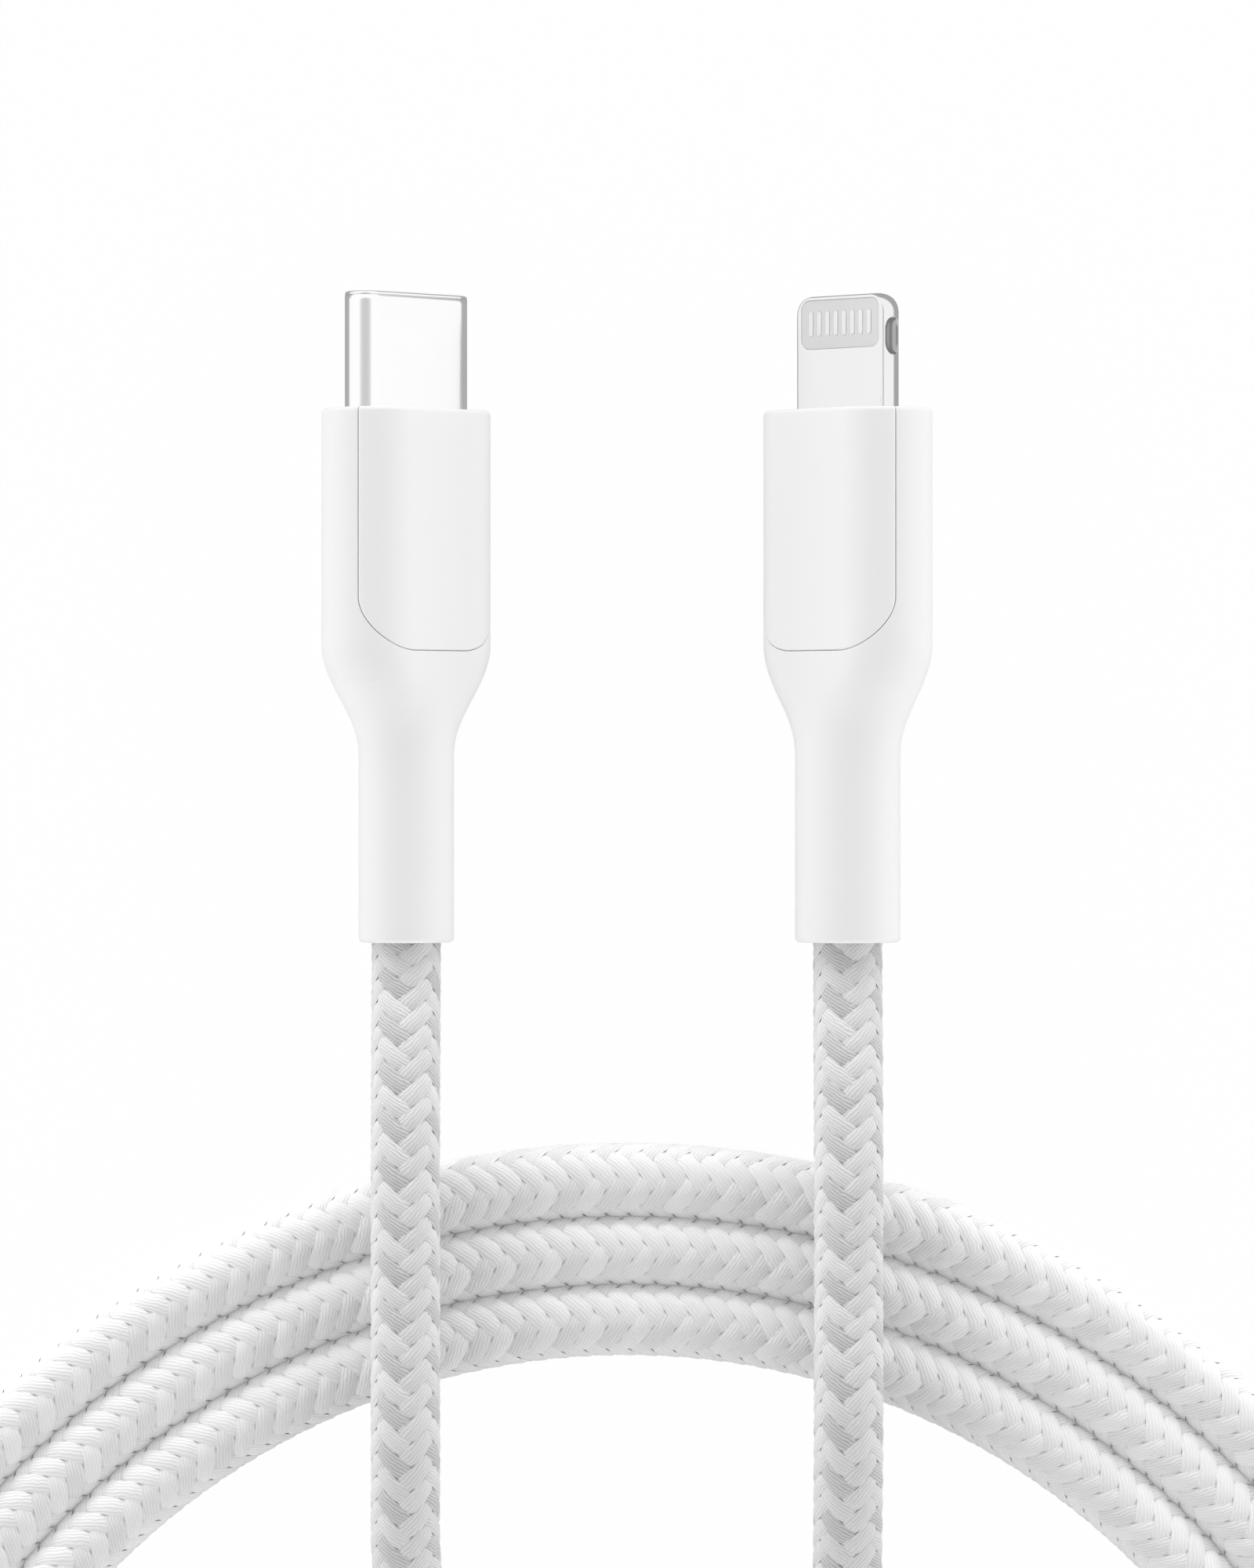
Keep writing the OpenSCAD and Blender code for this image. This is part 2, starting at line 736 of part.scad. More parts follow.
// Routes of the two legs, from inside the plug over the strands to the coil
oval_route = concat([
    [-plug_x, mouth_y + lead_end, plug_z], [-plug_x, mouth_y - 24, plug_z],
    [-plug_x, mouth_y - 31, plug_z], [-plug_x, -25.5, 5.5], [-plug_x, -31, over],
    [-plug_x, -38, over], [-plug_x, -45, over], [-plug_x, -49.5, 5.5]],
    bend(15.3 - plug_x, -54, 15.3, [180, 201, 222], [4.6, 3.3, 2.3]),
    bend(-18.8, -73.86, 14.0, [21, -1, -23, -46, -69, -92, -115, -138], [for (i = [0:7]) 2.0]),
    [coil_start - 0.5 * lead_d * [coil_in[0], coil_in[1], 0], coil_start]
);
blade_route = concat([
    [plug_x, mouth_y + lead_end, plug_z], [plug_x, mouth_y - 24, plug_z],
    [plug_x, mouth_y - 31, plug_z], [plug_x, -25.5, 5.5], [plug_x, -31, over],
    [plug_x, -38, over], [plug_x, -46, over], [plug_x, -53, 4.4], [plug_x, -60, 2.6],
    [plug_x, -65.5, 2.0]],
    bend(plug_x + 14.75, -70.5, 14.75, [180, 202.5, 225, 247.5, 270, 292.5, 315, 337.5],
         [2.0, 2.6, 4.0, 5.4, over, over, over, over]),
    [[42.4, -70.6, over], [43.9, -63.6, 5.2], [43.8, -57.8, 2.8],
     coil_end + 0.5 * lead_d * [coil_out[0], coil_out[1], 0], coil_end]
);

function length_of(p, i = 1) = i < len(p) ? norm(p[i] - p[i - 1]) + length_of(p, i + 1) : 0;
echo(lead_length = length_of(oval_route) + length_of(coil_path) + length_of(blade_route));

module cable_oval_leg() {
    color("whitesmoke") tube(oval_route, lead_d / 2, 8);
}

module cable_coil() {
    color("whitesmoke") sweep(coil_path, strand_section);
}

module cable_blade_leg() {
    color("whitesmoke") tube(blade_route, lead_d / 2, 8);
}

oval_plug_housing();
oval_plug_front_panel();
oval_plug_back_panel();
oval_plug_shell();
oval_plug_insulator();
oval_plug_upper_contacts();
oval_plug_lower_contacts();
oval_plug_latch_base();
oval_plug_latch_left();
oval_plug_latch_right();
oval_plug_upper_ground_spring();
oval_plug_lower_ground_spring();
oval_plug_board();
oval_plug_chips();
oval_plug_solder_joints();
oval_plug_upper_shield();
oval_plug_lower_shield();
oval_plug_inner_mould();
oval_plug_crimp_ring();
oval_plug_jacket_end();
oval_plug_power_wires();
oval_plug_ground_wires();
oval_plug_data_wires();
blade_plug_housing();
blade_plug_front_panel();
blade_plug_back_panel();
blade_plug_blade();
blade_plug_insulator();
blade_plug_front_contacts();
blade_plug_back_contacts();
blade_plug_board();
blade_plug_chips();
blade_plug_solder_joints();
blade_plug_upper_shield();
blade_plug_lower_shield();
blade_plug_inner_mould();
blade_plug_crimp_ring();
blade_plug_jacket_end();
blade_plug_power_wires();
blade_plug_ground_wires();
blade_plug_data_wires();
cable_oval_leg();
cable_coil();
cable_blade_leg();
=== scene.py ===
"""Charging cable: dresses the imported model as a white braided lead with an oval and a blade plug.

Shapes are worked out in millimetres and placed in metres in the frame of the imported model.
"""
import logging
import math
from dataclasses import dataclass
from enum import Enum
from typing import Any, Optional, Sequence, Union

import bpy
import numpy as np
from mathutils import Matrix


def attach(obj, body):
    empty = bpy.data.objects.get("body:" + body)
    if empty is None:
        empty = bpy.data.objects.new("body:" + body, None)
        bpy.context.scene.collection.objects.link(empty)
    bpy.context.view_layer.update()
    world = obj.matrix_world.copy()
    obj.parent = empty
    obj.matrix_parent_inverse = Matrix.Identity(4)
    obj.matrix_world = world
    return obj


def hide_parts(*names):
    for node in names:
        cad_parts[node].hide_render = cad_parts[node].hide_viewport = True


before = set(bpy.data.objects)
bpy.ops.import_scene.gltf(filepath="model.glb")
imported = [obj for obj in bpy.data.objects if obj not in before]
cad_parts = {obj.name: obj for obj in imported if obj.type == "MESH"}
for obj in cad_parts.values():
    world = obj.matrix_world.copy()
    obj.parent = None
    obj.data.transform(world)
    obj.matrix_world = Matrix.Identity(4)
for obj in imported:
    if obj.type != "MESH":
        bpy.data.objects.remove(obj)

LOG = logging.getLogger("charging_cable")
MM = 0.001
Colour = tuple[float, float, float]


# ---- Shader maths ----

class Socket:
    """A shader node's output; arithmetic on it adds Math nodes to its graph."""

    def __init__(self, graph: "Graph", output: Optional[bpy.types.NodeSocket]) -> None:
        """Keeps the output and the graph that it belongs to."""
        self.graph = graph
        self.output = output

    def __add__(self, other: "Operand") -> "Socket":
        """self + other."""
        return self.graph.math("ADD", self, other)

    def __sub__(self, other: "Operand") -> "Socket":
        """self - other."""
        return self.graph.math("SUBTRACT", self, other)

    def __rsub__(self, other: "Operand") -> "Socket":
        """other - self."""
        return self.graph.math("SUBTRACT", other, self)

    def __mul__(self, other: "Operand") -> "Socket":
        """self * other."""
        return self.graph.math("MULTIPLY", self, other)


Operand = Union[Socket, float]


class Graph:
    """A node tree whose nodes are all added by one method."""

    def __init__(self, tree: bpy.types.NodeTree) -> None:
        """Empties the tree."""
        self.tree = tree
        tree.nodes.clear()

    def node(self, kind: str, settings: Optional[dict[str, Any]] = None,
             inputs: Optional[dict[Any, Any]] = None, output: Any = 0) -> Socket:
        """Adds a node.

        Args:
            kind: The node's type.
            settings: Properties set first; "stops" fills a colour ramp.
            inputs: Socket name or number to a value or a Socket.
            output: Name or number of the output that is wanted.

        Returns:
            That output.
        """
        made = self.tree.nodes.new(kind)
        for name, value in (settings or {}).items():
            if name == "stops":
                ramp = made.color_ramp
                while len(ramp.elements) < len(value):
                    ramp.elements.new(0.5)
                for element, (place, level) in zip(ramp.elements, value):
                    element.position = place
                    element.color = (level, level, level, 1.0)
            else:
                setattr(made, name, value)
        for name, value in (inputs or {}).items():
            if isinstance(value, Socket):
                self.tree.links.new(value.output, made.inputs[name])
            else:
                made.inputs[name].default_value = value
        return Socket(self, made.outputs[output] if made.outputs else None)

    def math(self, operation: str, first: Operand, second: Operand) -> Socket:
        """A Math node on two values."""
        return self.node("ShaderNodeMath", {"operation": operation}, {0: first, 1: second})

    def mix(self, factor: Operand, first: Colour, second: Colour) -> Socket:
        """A colour between two colours."""
        return self.node("ShaderNodeMix", {"data_type": "RGBA"},
                         {0: factor, 6: (*first, 1.0), 7: (*second, 1.0)}, 2)

    def place(self, stretch: Sequence[float]) -> Socket:
        """The piece's own coordinates, each axis multiplied by its number in stretch."""
        own = self.node("ShaderNodeTexCoord", output="Object")
        return self.node("ShaderNodeVectorMath", {"operation": "MULTIPLY"},
                         {0: own, 1: tuple(stretch)})

    def part(self, vector: Socket, axis: int) -> Socket:
        """One coordinate of a vector: 0, 1 or 2."""
        return self.node("ShaderNodeSeparateXYZ", {}, {0: vector}, axis)

    def grain(self, size: float, detail: float = 2.0,
              stretch: Sequence[float] = (1.0, 1.0, 1.0)) -> Socket:
        """Noise from 0 to 1.

        Args:
            size: Size of its features in millimetres.
            detail: Number of finer layers.
            stretch: Numbers below 1 draw the noise out along that axis.

        Returns:
            The noise.
        """
        return self.node("ShaderNodeTexNoise", {}, {
            "Vector": self.place(stretch), "Scale": 1.0 / (size * MM), "Detail": detail})

    def bump(self, height: Socket, depth: float) -> Socket:
        """A normal bent by a height from 0 to 1 that stands for depth millimetres."""
        return self.node("ShaderNodeBump", {}, {
            "Strength": 1.0, "Distance": depth * MM, "Height": height})


# ---- Finishes ----

@dataclass(frozen=True)
class Finish:
    """A surface with a fine grain in its tone, gloss and relief.

    Sizes and depths are millimetres; tone and gloss say how much the grain changes them.
    """

    name: str
    colour: Colour
    roughness: float = 0.5
    metallic: float = 0.0
    size: float = 0.12
    depth: float = 0.004
    tone: float = 0.03
    gloss: float = 0.1
    coat: float = 0.0
    stretch: tuple[float, float, float] = (1.0, 1.0, 1.0)

    def material(self) -> bpy.types.Material:
        """The material of this name, made on its first use."""
        found = bpy.data.materials.get(self.name)
        if found:
            return found
        made = bpy.data.materials.new(self.name)
        made.use_nodes = True
        graph = Graph(made.node_tree)
        graph.node("ShaderNodeOutputMaterial", {}, {"Surface": self.surface(graph)})
        return made

    def shade(self, factor: float) -> Colour:
        """The colour, darker or lighter by a factor."""
        red, green, blue = (min(1.0, level * factor) for level in self.colour)
        return red, green, blue

    def surface(self, graph: Graph) -> Socket:
        """The shader of the finish."""
        fine = graph.grain(self.size, 3.0, self.stretch)
        broad = graph.grain(self.size * 30, 1.0)
        colour = graph.mix(fine * 0.5 + broad * 0.5, self.shade(1 - self.tone),
                           self.shade(1 + self.tone))
        return graph.node("ShaderNodeBsdfPrincipled", {}, {
            "Base Color": colour,
            "Metallic": self.metallic,
            "Roughness": fine * self.gloss + (self.roughness - self.gloss / 2),
            "Coat Weight": self.coat,
            "Normal": graph.bump(fine, self.depth)})


@dataclass(frozen=True)
class BoardLacquer(Finish):
    """Lacquered glass cloth: a fine square weave shows under the gloss."""

    thread: float = 0.25

    def surface(self, graph: Graph) -> Socket:
        """The shader of the board."""
        turns = graph.place((2 * math.pi / (self.thread * MM),) * 3)
        warp, weft = (graph.math("SINE", graph.part(turns, axis), 0.0) for axis in (0, 1))
        weave = warp * weft * 0.5 + 0.5
        return graph.node("ShaderNodeBsdfPrincipled", {}, {
            "Base Color": graph.mix(weave, self.shade(0.8), self.shade(1.2)),
            "Roughness": weave * 0.08 + self.roughness,
            "Coat Weight": self.coat,
            "Normal": graph.bump(weave, self.depth)})


@dataclass(frozen=True)
class Yarn(Finish):
    """Braided yarn: every strand is a bundle of fine filaments with a slight twist.

    filaments is their number a millimetre, gap how dark the gaps between them are.
    """

    filaments: float = 5.6
    twist: float = 0.8
    wander: float = 1.2
    gap: float = 0.5
    fuzz_tone: float = 0.12
    deepest: float = 0.45

    def surface(self, graph: Graph) -> Socket:
        """The shader of the braid; its UV holds millimetres along and across a strand."""
        laid = graph.node("ShaderNodeUVMap", {"uv_map": "strand"})
        along, across = graph.part(laid, 0), graph.part(laid, 1)
        # The shade attribute holds each strand's tone: painted shade on the legs and on every other
        # strand, with a random tone per float.
        shade = graph.node("ShaderNodeAttribute", {"attribute_name": "shade"}, output="Fac")
        stray = graph.grain(0.5, 2.0)
        turns = across * self.filaments + along * self.twist + stray * self.wander
        thread = graph.math("SINE", turns * (2 * math.pi), 0.0) * 0.5 + 0.5
        fuzz = graph.grain(self.size, 3.0)
        light = shade - (1 - thread) * (1.3 - shade) * self.gap - fuzz * self.fuzz_tone
        return graph.node("ShaderNodeBsdfPrincipled", {}, {
            "Base Color": graph.mix(light, self.shade(self.deepest), self.colour),
            "Roughness": fuzz * self.gloss + (self.roughness - self.gloss / 2),
            "Sheen Weight": 0.2,
            "Normal": graph.bump(thread * 0.8 + fuzz * 0.2, self.depth)})


HOUSING = Finish("moulded_grip", (0.925, 0.925, 0.93), 0.42, size=0.07, depth=0.0018, tone=0.006,
                 gloss=0.08)
PANEL = Finish("moulded_panel", (0.93, 0.93, 0.935), 0.36, size=0.05, depth=0.0010, tone=0.005,
               gloss=0.06)
SHELL = Finish("drawn_steel", (0.99, 0.99, 0.99), 0.17, 1.0, size=0.05, depth=0.0006, tone=0.02,
               gloss=0.06, stretch=(1.0, 0.06, 1.0))
BLADE = Finish("plated_blade", (0.875, 0.875, 0.88), 0.13, 1.0, size=0.05, depth=0.0006, tone=0.02,
               gloss=0.06, stretch=(1.0, 0.1, 1.0))
# Darker steel for the faces inside each scoop: painted shade of the pocket.
SCOOP_SHADE = Finish("scoop_steel", (0.42, 0.42, 0.425), 0.16, 1.0, size=0.08, depth=0.003, tone=0.08)
BRAID = Yarn("braided_yarn", (0.93, 0.93, 0.93), 0.62, size=0.06, depth=0.014, gloss=0.12)
PAD = Finish("pale_plating", (0.9, 0.9, 0.895), 0.34, 0.3, size=0.06, depth=0.001)
CAD_FINISHES: dict[str, Finish] = {
    "oval_plug_insulator": Finish("tongue_resin", (0.05, 0.05, 0.055), 0.45, size=0.09),
    "blade_plug_insulator": Finish("window_resin", (0.76, 0.76, 0.765), 0.38, size=0.07,
                                   depth=0.001, tone=0.01),
    "blade_plug_front_contacts": PAD,
    "blade_plug_back_contacts": PAD,
    "contacts": Finish("gilding", (0.83, 0.62, 0.28), 0.22, 1.0, size=0.06, depth=0.001),
    "latch": Finish("spring_steel", (0.62, 0.62, 0.63), 0.25, 1.0, size=0.06, depth=0.001,
                    stretch=(1.0, 0.1, 1.0)),
    "ground_spring": Finish("spring_strip", (0.66, 0.65, 0.63), 0.28, 1.0, size=0.06, depth=0.001),
    "board": BoardLacquer("board_lacquer", (0.02, 0.16, 0.07), 0.3, depth=0.002, coat=0.6),
    "chips": Finish("chip_resin", (0.025, 0.025, 0.028), 0.55, size=0.05, depth=0.003),
    "solder_joints": Finish("solder", (0.66, 0.67, 0.69), 0.24, 1.0, size=0.3, depth=0.012),
    "shield": Finish("tinned_can", (0.68, 0.69, 0.70), 0.3, 1.0, size=0.1, depth=0.002,
                     stretch=(1.0, 0.08, 1.0)),
    "inner_mould": Finish("clear_filling", (0.74, 0.71, 0.62), 0.35, size=0.4, depth=0.006),
    "crimp_ring": Finish("pressed_ring", (0.70, 0.70, 0.71), 0.3, 1.0, size=0.08, depth=0.002,
                         stretch=(1.0, 0.1, 1.0)),
    "jacket_end": Finish("inner_jacket", (0.80, 0.80, 0.79), 0.5, size=0.1, depth=0.002),
    "power_wires": Finish("red_insulation", (0.55, 0.03, 0.02), 0.38, size=0.1, depth=0.002),
    "ground_wires": Finish("black_insulation", (0.03, 0.03, 0.03), 0.4, size=0.1, depth=0.002),
    "data_wires": Finish("green_insulation", (0.05, 0.33, 0.09), 0.38, size=0.1, depth=0.002),
}


# ---- Meshes ----

def smooth(x: Union[float, np.ndarray]) -> Union[float, np.ndarray]:
    """0 below 0, 1 above 1 and a soft step between."""
    x = np.clip(x, 0.0, 1.0)
    return x * x * (3 - 2 * x)


def quarter(radius: float, steps: int) -> np.ndarray:
    """Distance from its start and depth of points on a quarter round, from the deepest up."""
    q = np.linspace(0, math.pi / 2, steps)
    return np.stack([radius * (1 - np.cos(q)), radius * (1 - np.sin(q))], axis=1)


class Skin:
    """Grids of points that become one piece."""

    def __init__(self) -> None:
        """Starts with no points."""
        self.points: list[np.ndarray] = []
        self.faces: list[np.ndarray] = []
        self.count = 0

    def grid(self, points: np.ndarray, closed: bool = False,
             away: Optional[Sequence[float]] = None) -> None:
        """Adds a grid.

        Args:
            points: Array of rows by columns by 3.
            closed: Whether the last column joins the first.
            away: A point that the faces look away from.
        """
        rows, columns = points.shape[:2]
        index = np.arange(rows * columns).reshape(rows, columns)
        right = np.roll(index, -1, axis=1) if closed else index[:, 1:]
        left = index if closed else index[:, :-1]
        faces = np.stack([left[:-1], right[:-1], right[1:], left[1:]], axis=-1).reshape(-1, 4)
        flat = points.reshape(-1, 3)
        if away is not None:
            corner = flat[faces]
            normal = np.cross(corner[:, 2] - corner[:, 0], corner[:, 3] - corner[:, 1])
            looks = np.sum(normal * (corner.mean(axis=1) - np.asarray(away, float)))
            if looks < 0:
                faces = faces[:, ::-1]
        self.points.append(flat)
        self.faces.append(faces + self.count)
        self.count += len(flat)

    def mesh(self, name: str, place: Optional["Place"] = None) -> bpy.types.Mesh:
        """The smooth-shaded mesh, moved from a plug's own frame if a place is given."""
        points = np.concatenate(self.points)
        points = place.to_row(points) if place else points
        made = bpy.data.meshes.new(name)
        made.from_pydata((points * MM).tolist(), [], np.concatenate(self.faces).tolist())
        made.polygons.foreach_set("use_smooth", [True] * len(made.polygons))
        made.update()
        return made


@dataclass(frozen=True)
class Place:
    """Where a plug lies: its tip points along +Y and its front is rolled about its length."""

    side: int
    x: float = 12.65
    y: float = 11.915
    z: float = 4.532
    roll: float = 40.0

    def to_row(self, points: np.ndarray) -> np.ndarray:
        """Points of the upright plug, in millimetres, as they lie in the row frame."""
        cos, sin = math.cos(math.radians(self.roll)), math.sin(math.radians(self.roll))
        axes = np.array([[-cos, 0, -self.side * sin], [-self.side * sin, 0, cos], [0, 1, 0]])
        return points @ axes + np.array([self.side * self.x, self.y, self.z])


def add(name: str, data: bpy.types.ID) -> bpy.types.Object:
    """Puts a new object with some data into the scene."""
    made = bpy.data.objects.new(name, data)
    bpy.context.scene.collection.objects.link(made)
    return made


def show(mesh: bpy.types.Mesh, finish: Finish, slot: str, *nodes: str) -> bpy.types.Object:
    """Makes a piece that stands for some nodes and rides on the lead.

    Args:
        mesh: Its mesh.
        finish: Its finish.
        slot: The record's slot for that finish; not used.
        nodes: The nodes that it replaces.

    Returns:
        The piece.
    """
    piece = add(mesh.name, mesh)
    mesh.materials.append(finish.material())
    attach(piece, "lead")
    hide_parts(*nodes)
    LOG.info("%s: %d faces, in place of %s", piece.name, len(mesh.polygons), ", ".join(nodes))
    return piece


# ---- Housings ----

class Nose(Enum):
    """Outline of the opening that a plug's nose comes out of."""

    OVAL = "oval"
    BLADE = "blade"

    def opening(self, s: np.ndarray) -> np.ndarray:
        """Points of the opening's front half for s from -1 to 1, at height 0."""
        if self is Nose.OVAL:
            flat, radius, share = 2.945, 1.22, 0.35
            x, y = stadium(s, flat, radius, share)
        else:
            half_width, half_thick, share = 3.37, 0.77, 0.75
            x = half_width * np.clip(s / share, -1, 1)
            y = half_thick * np.clip((1 - np.abs(s)) / (1 - share), 0, 1)
        return np.stack([x, y, 0 * x], axis=-1)


def stadium(s: np.ndarray, flat: Any, radius: Any, share: float) -> tuple[np.ndarray, np.ndarray]:
    """Front half of a flat outline with round ends; the flat takes that share of s."""
    turn = np.sign(s) * np.clip((np.abs(s) - share) / (1 - share), 0, 1) * math.pi / 2
    return flat * np.clip(s / share, -1, 1) + radius * np.sin(turn), radius * np.cos(turn)


@dataclass
class Housing:
    """Grip, shoulder and sleeve moulded in one, with a thin panel let into each face.

    Heights count up from the mouth; panel_x is half the panel's width, panel_z its foot.
    """

    name: str
    place: Place
    nose: Nose
    sleeve: float
    width: float = 10.6
    thick: float = 6.3
    grip: float = 13.5
    shoulder: float = 6.25
    length: float = 30.48
    edge: float = 0.27
    panel_x: float = 4.8
    panel_z: float = -13.8
    corner: float = 3.0
    seam: float = 0.03
    recess: float = 0.55
    panel_thick: float = 0.5
    lip: float = 0.04
    panel_lip: float = 0.10
    mid_wall: float = 0.3
    floor_half: float = 5.6
    floor_z: tuple[float, ...] = (0.0, -5.0, -10.0, -14.2)
    below: float = -15.6
    fan: float = 1.5
    sleeve_z: float = -20.5
    sleeve_flat: float = 0.08
    throat: float = 0.7
    hole: float = 2.05

    def __post_init__(self) -> None:
        """Works out the half-perimeter of the grip and the share of its flat."""
        self.flat = (self.width - self.thick) / 2
        self.reach = self.flat + math.pi / 4 * self.thick
        self.share = self.flat / self.reach

    def skin(self, u: Any, z: Any, inset: Any = 0.0) -> np.ndarray:
        """Points of the front half.

        Args:
            u: Distance round the grip from the middle of its face.
            z: Height, the mouth being 0.
            inset: Depth under the skin.

        Returns:
            Their coordinates in the plug's frame.
        """
        u, z, inset = np.broadcast_arrays(*(np.asarray(a, float) for a in (u, z, inset)))
        down = np.clip((-self.grip - z) / self.shoulder, 0, 1)
        step = smooth(down)
        wide = self.width + (self.sleeve - self.width) * step
        deep = self.thick + (self.sleeve - self.sleeve_flat - self.thick) * step
        round_part = smooth((down - 0.25) / 0.75)
        s = u / self.reach
        x0, y0 = stadium(s, (wide - deep) / 2, deep / 2 - inset, self.share)
        angle = math.pi / 2 * s
        x1 = (wide / 2 - inset) * np.sin(angle)
        y1 = (deep / 2 - inset) * np.cos(angle)
        return np.stack([x0 + (x1 - x0) * round_part, y0 + (y1 - y0) * round_part, z], axis=-1)

    def outline(self) -> dict[str, np.ndarray]:
        """Columns round the panel's edge: down its left side, along its foot and up its right.

        Returns:
            u and z of the edge, its outward normal nu and nz, the mouth's rounding as rim, and
            where the column ends outside (far) and inside (near) the panel.
        """
        rim = quarter(self.edge, 6)
        centre = self.panel_z + self.corner
        side = np.linspace(-self.edge, centre, 8)[1:]
        turn = np.radians(np.linspace(0, 90, 25)[1:])
        foot = np.linspace(-1, 1, 9)[1:-1] * (self.panel_x - self.corner)
        x = -(self.panel_x - self.corner + self.corner * np.cos(turn))
        arc_u = np.where(-x > self.flat,
                         -self.flat - self.thick / 2 * np.arcsin((-x - self.flat) / (self.thick / 2)),
                         x)
        arc_z = centre - self.corner * np.sin(turn)
        edge_u = -(self.flat + self.thick / 2 * math.asin((self.panel_x - self.flat)
                                                          / (self.thick / 2)))
        rows = len(rim) + len(side)
        u = np.concatenate([np.full(rows, edge_u), arc_u])
        z = np.concatenate([-rim[:, 0], side, arc_z])
        sink = np.concatenate([rim[:, 1], np.zeros(len(side) + len(turn))])
        bend = np.gradient(np.stack([arc_u, arc_z]), axis=1)
        size = np.hypot(*bend)
        nu = np.concatenate([np.full(rows, -1.0), bend[1] / size])
        nz = np.concatenate([np.zeros(rows), -bend[0] / size])
        step = np.degrees(turn) / 45
        foot_u = self.fan * (self.panel_x - self.corner)
        far_u = np.concatenate([np.full(rows, -self.reach),
                                -self.reach + (self.reach - foot_u) * np.clip(step - 1, 0, 1)])
        far_z = np.concatenate([z[:rows], centre + (self.below - centre) * np.clip(step, 0, 1)])
        near_z = np.concatenate([z[:rows], centre - (self.corner - 1) * step / 2])

        def both(left: np.ndarray, middle: Any, sign: int) -> np.ndarray:
            """The left half, the foot and the mirrored left half."""
            return np.concatenate([left, middle + 0 * foot, sign * left[::-1]])

        return {"u": both(u, foot, -1), "z": both(z, self.panel_z, 1), "rim": both(sink, 0, 1),
                "nu": both(nu, 0, -1), "nz": both(nz, -1, 1),
                "far_u": both(far_u, self.fan * foot, -1), "far_z": both(far_z, self.below, 1),
                "near_z": both(near_z, self.panel_z + 1, 1)}

    def edge_rows(self, line: dict[str, np.ndarray], start: float, outward: int, radius: float,
                  depth: float) -> list[tuple[np.ndarray, np.ndarray, np.ndarray]]:
        """Rows of u, z and inset that climb a wall and round over its lip.

        Args:
            line: The outline's columns.
            start: How far outside the panel's edge the wall stands.
            outward: 1 if the lip leads away from the panel, -1 if onto it.
            radius: Radius of the lip.
            depth: Depth of the wall.

        Returns:
            The rows, the last one on the skin.
        """
        profile = [(0.0, depth), (0.0, depth / 2)] + [tuple(p) for p in quarter(radius, 5)]
        rows = []
        for aside, inset in profile:
            shift = start + outward * aside
            rows.append((line["u"] + shift * line["nu"], line["z"] + shift * line["nz"],
                         line["rim"] + (depth - line["rim"]) * inset / depth))
        return rows

    def body(self) -> Skin:
        """The moulding without its panels."""
        made = Skin()
        line = self.outline()
        rows = self.edge_rows(line, self.seam, 1, self.lip, self.recess)
        u, z, rim = rows[-1]
        for part in (0.03, 0.1, 0.2, 0.32, 0.46, 0.62, 0.8, 1.0):
            rows.append((u + (line["far_u"] - u) * part, z + (line["far_z"] - z) * part, rim))
        strip = np.stack([self.skin(*row) for row in rows])
        floor_u = np.linspace(-self.floor_half, self.floor_half, 41)
        floor = np.stack([self.skin(floor_u, z, self.recess) for z in self.floor_z])
        side_u = np.linspace(self.reach, -line["u"][0] + self.seam, 13)
        top = np.stack([self.skin(side_u, 0, inset)
                        for inset in (self.edge, self.mid_wall, self.recess)])
        for flip in (1, -1):
            mirror = np.array([1, flip, 1])
            made.grid(strip * mirror, away=(0, 0, -7))
            made.grid(floor * mirror, away=(0, 0, -7))
            for turn in (1, -1):
                made.grid(top * mirror * np.array([turn, 1, 1]), away=(0, 0, -9))
        self.mouth(made)
        self.tail(made, line["far_u"][line["far_z"] <= self.below + 1e-6])
        return made

    def mouth(self, made: Skin) -> None:
        """Adds the mouth face round the nose and the edge of its opening."""
        s = np.linspace(-1, 1, 61)
        outer, inner = self.skin(s * self.reach, 0, self.recess), self.nose.opening(s)
        rows = [outer + (inner - outer) * part for part in (0, 0.03, 0.5, 0.95, 1)]
        rows.append(inner - np.array([0, 0, self.throat]))
        for flip in (1, -1):
            made.grid(np.stack(rows) * np.array([1, flip, 1]), away=(0, 0, -9))

    def tail(self, made: Skin, u: np.ndarray) -> None:
        """Adds the shoulder, the sleeve and its end round the lead, below the panel's rows."""
        heights = np.concatenate([np.linspace(self.below, -self.grip - self.shoulder, 15),
                                  np.linspace(self.sleeve_z, -self.length + self.edge, 6)])
        rows = [self.skin(u, z) for z in heights]
        for aside, inset in quarter(self.edge, 6)[::-1][1:]:
            rows.append(self.skin(u, -self.length + aside, inset))
        end = rows[-1]
        hole = self.hole * np.stack([np.sin(math.pi / 2 * u / self.reach),
                                     np.cos(math.pi / 2 * u / self.reach)], axis=-1)
        for height, part in ((0.0, 0.1), (0.0, 0.9), (0.05, 1.0), (3.0, 1.0)):
            ring = np.concatenate([hole, np.full((len(u), 1), height - self.length)], axis=1)
            rows.append(ring + (end - ring) * np.array([1 - part, 1 - part, 0]))
        for flip in (1, -1):
            made.grid(np.stack(rows) * np.array([1, flip, 1]), away=(0, 0, -22))

    def panel(self, flip: int) -> Skin:
        """The panel let into the front (1) or the back (-1)."""
        made = Skin()
        line = self.outline()
        rows = self.edge_rows(line, 0.0, -1, self.panel_lip, self.panel_thick)
        u, z, rim = rows[-1]
        for part in (*np.linspace(0.03, 0.62, 13), 0.8, 1.0):
            rows.append((u * (1 - part), z + (line["near_z"] - z) * part, rim))
        top_u = np.linspace(line["u"][0], line["u"][-1], 41)
        top = np.stack([self.skin(top_u, 0, inset)
                        for inset in (self.edge, self.mid_wall, self.panel_thick)])
        mirror = np.array([1, flip, 1])
        made.grid(np.stack([self.skin(*row) for row in rows]) * mirror, away=(0, 0, -7))
        made.grid(top * mirror, away=(0, 0, -9))
        return made

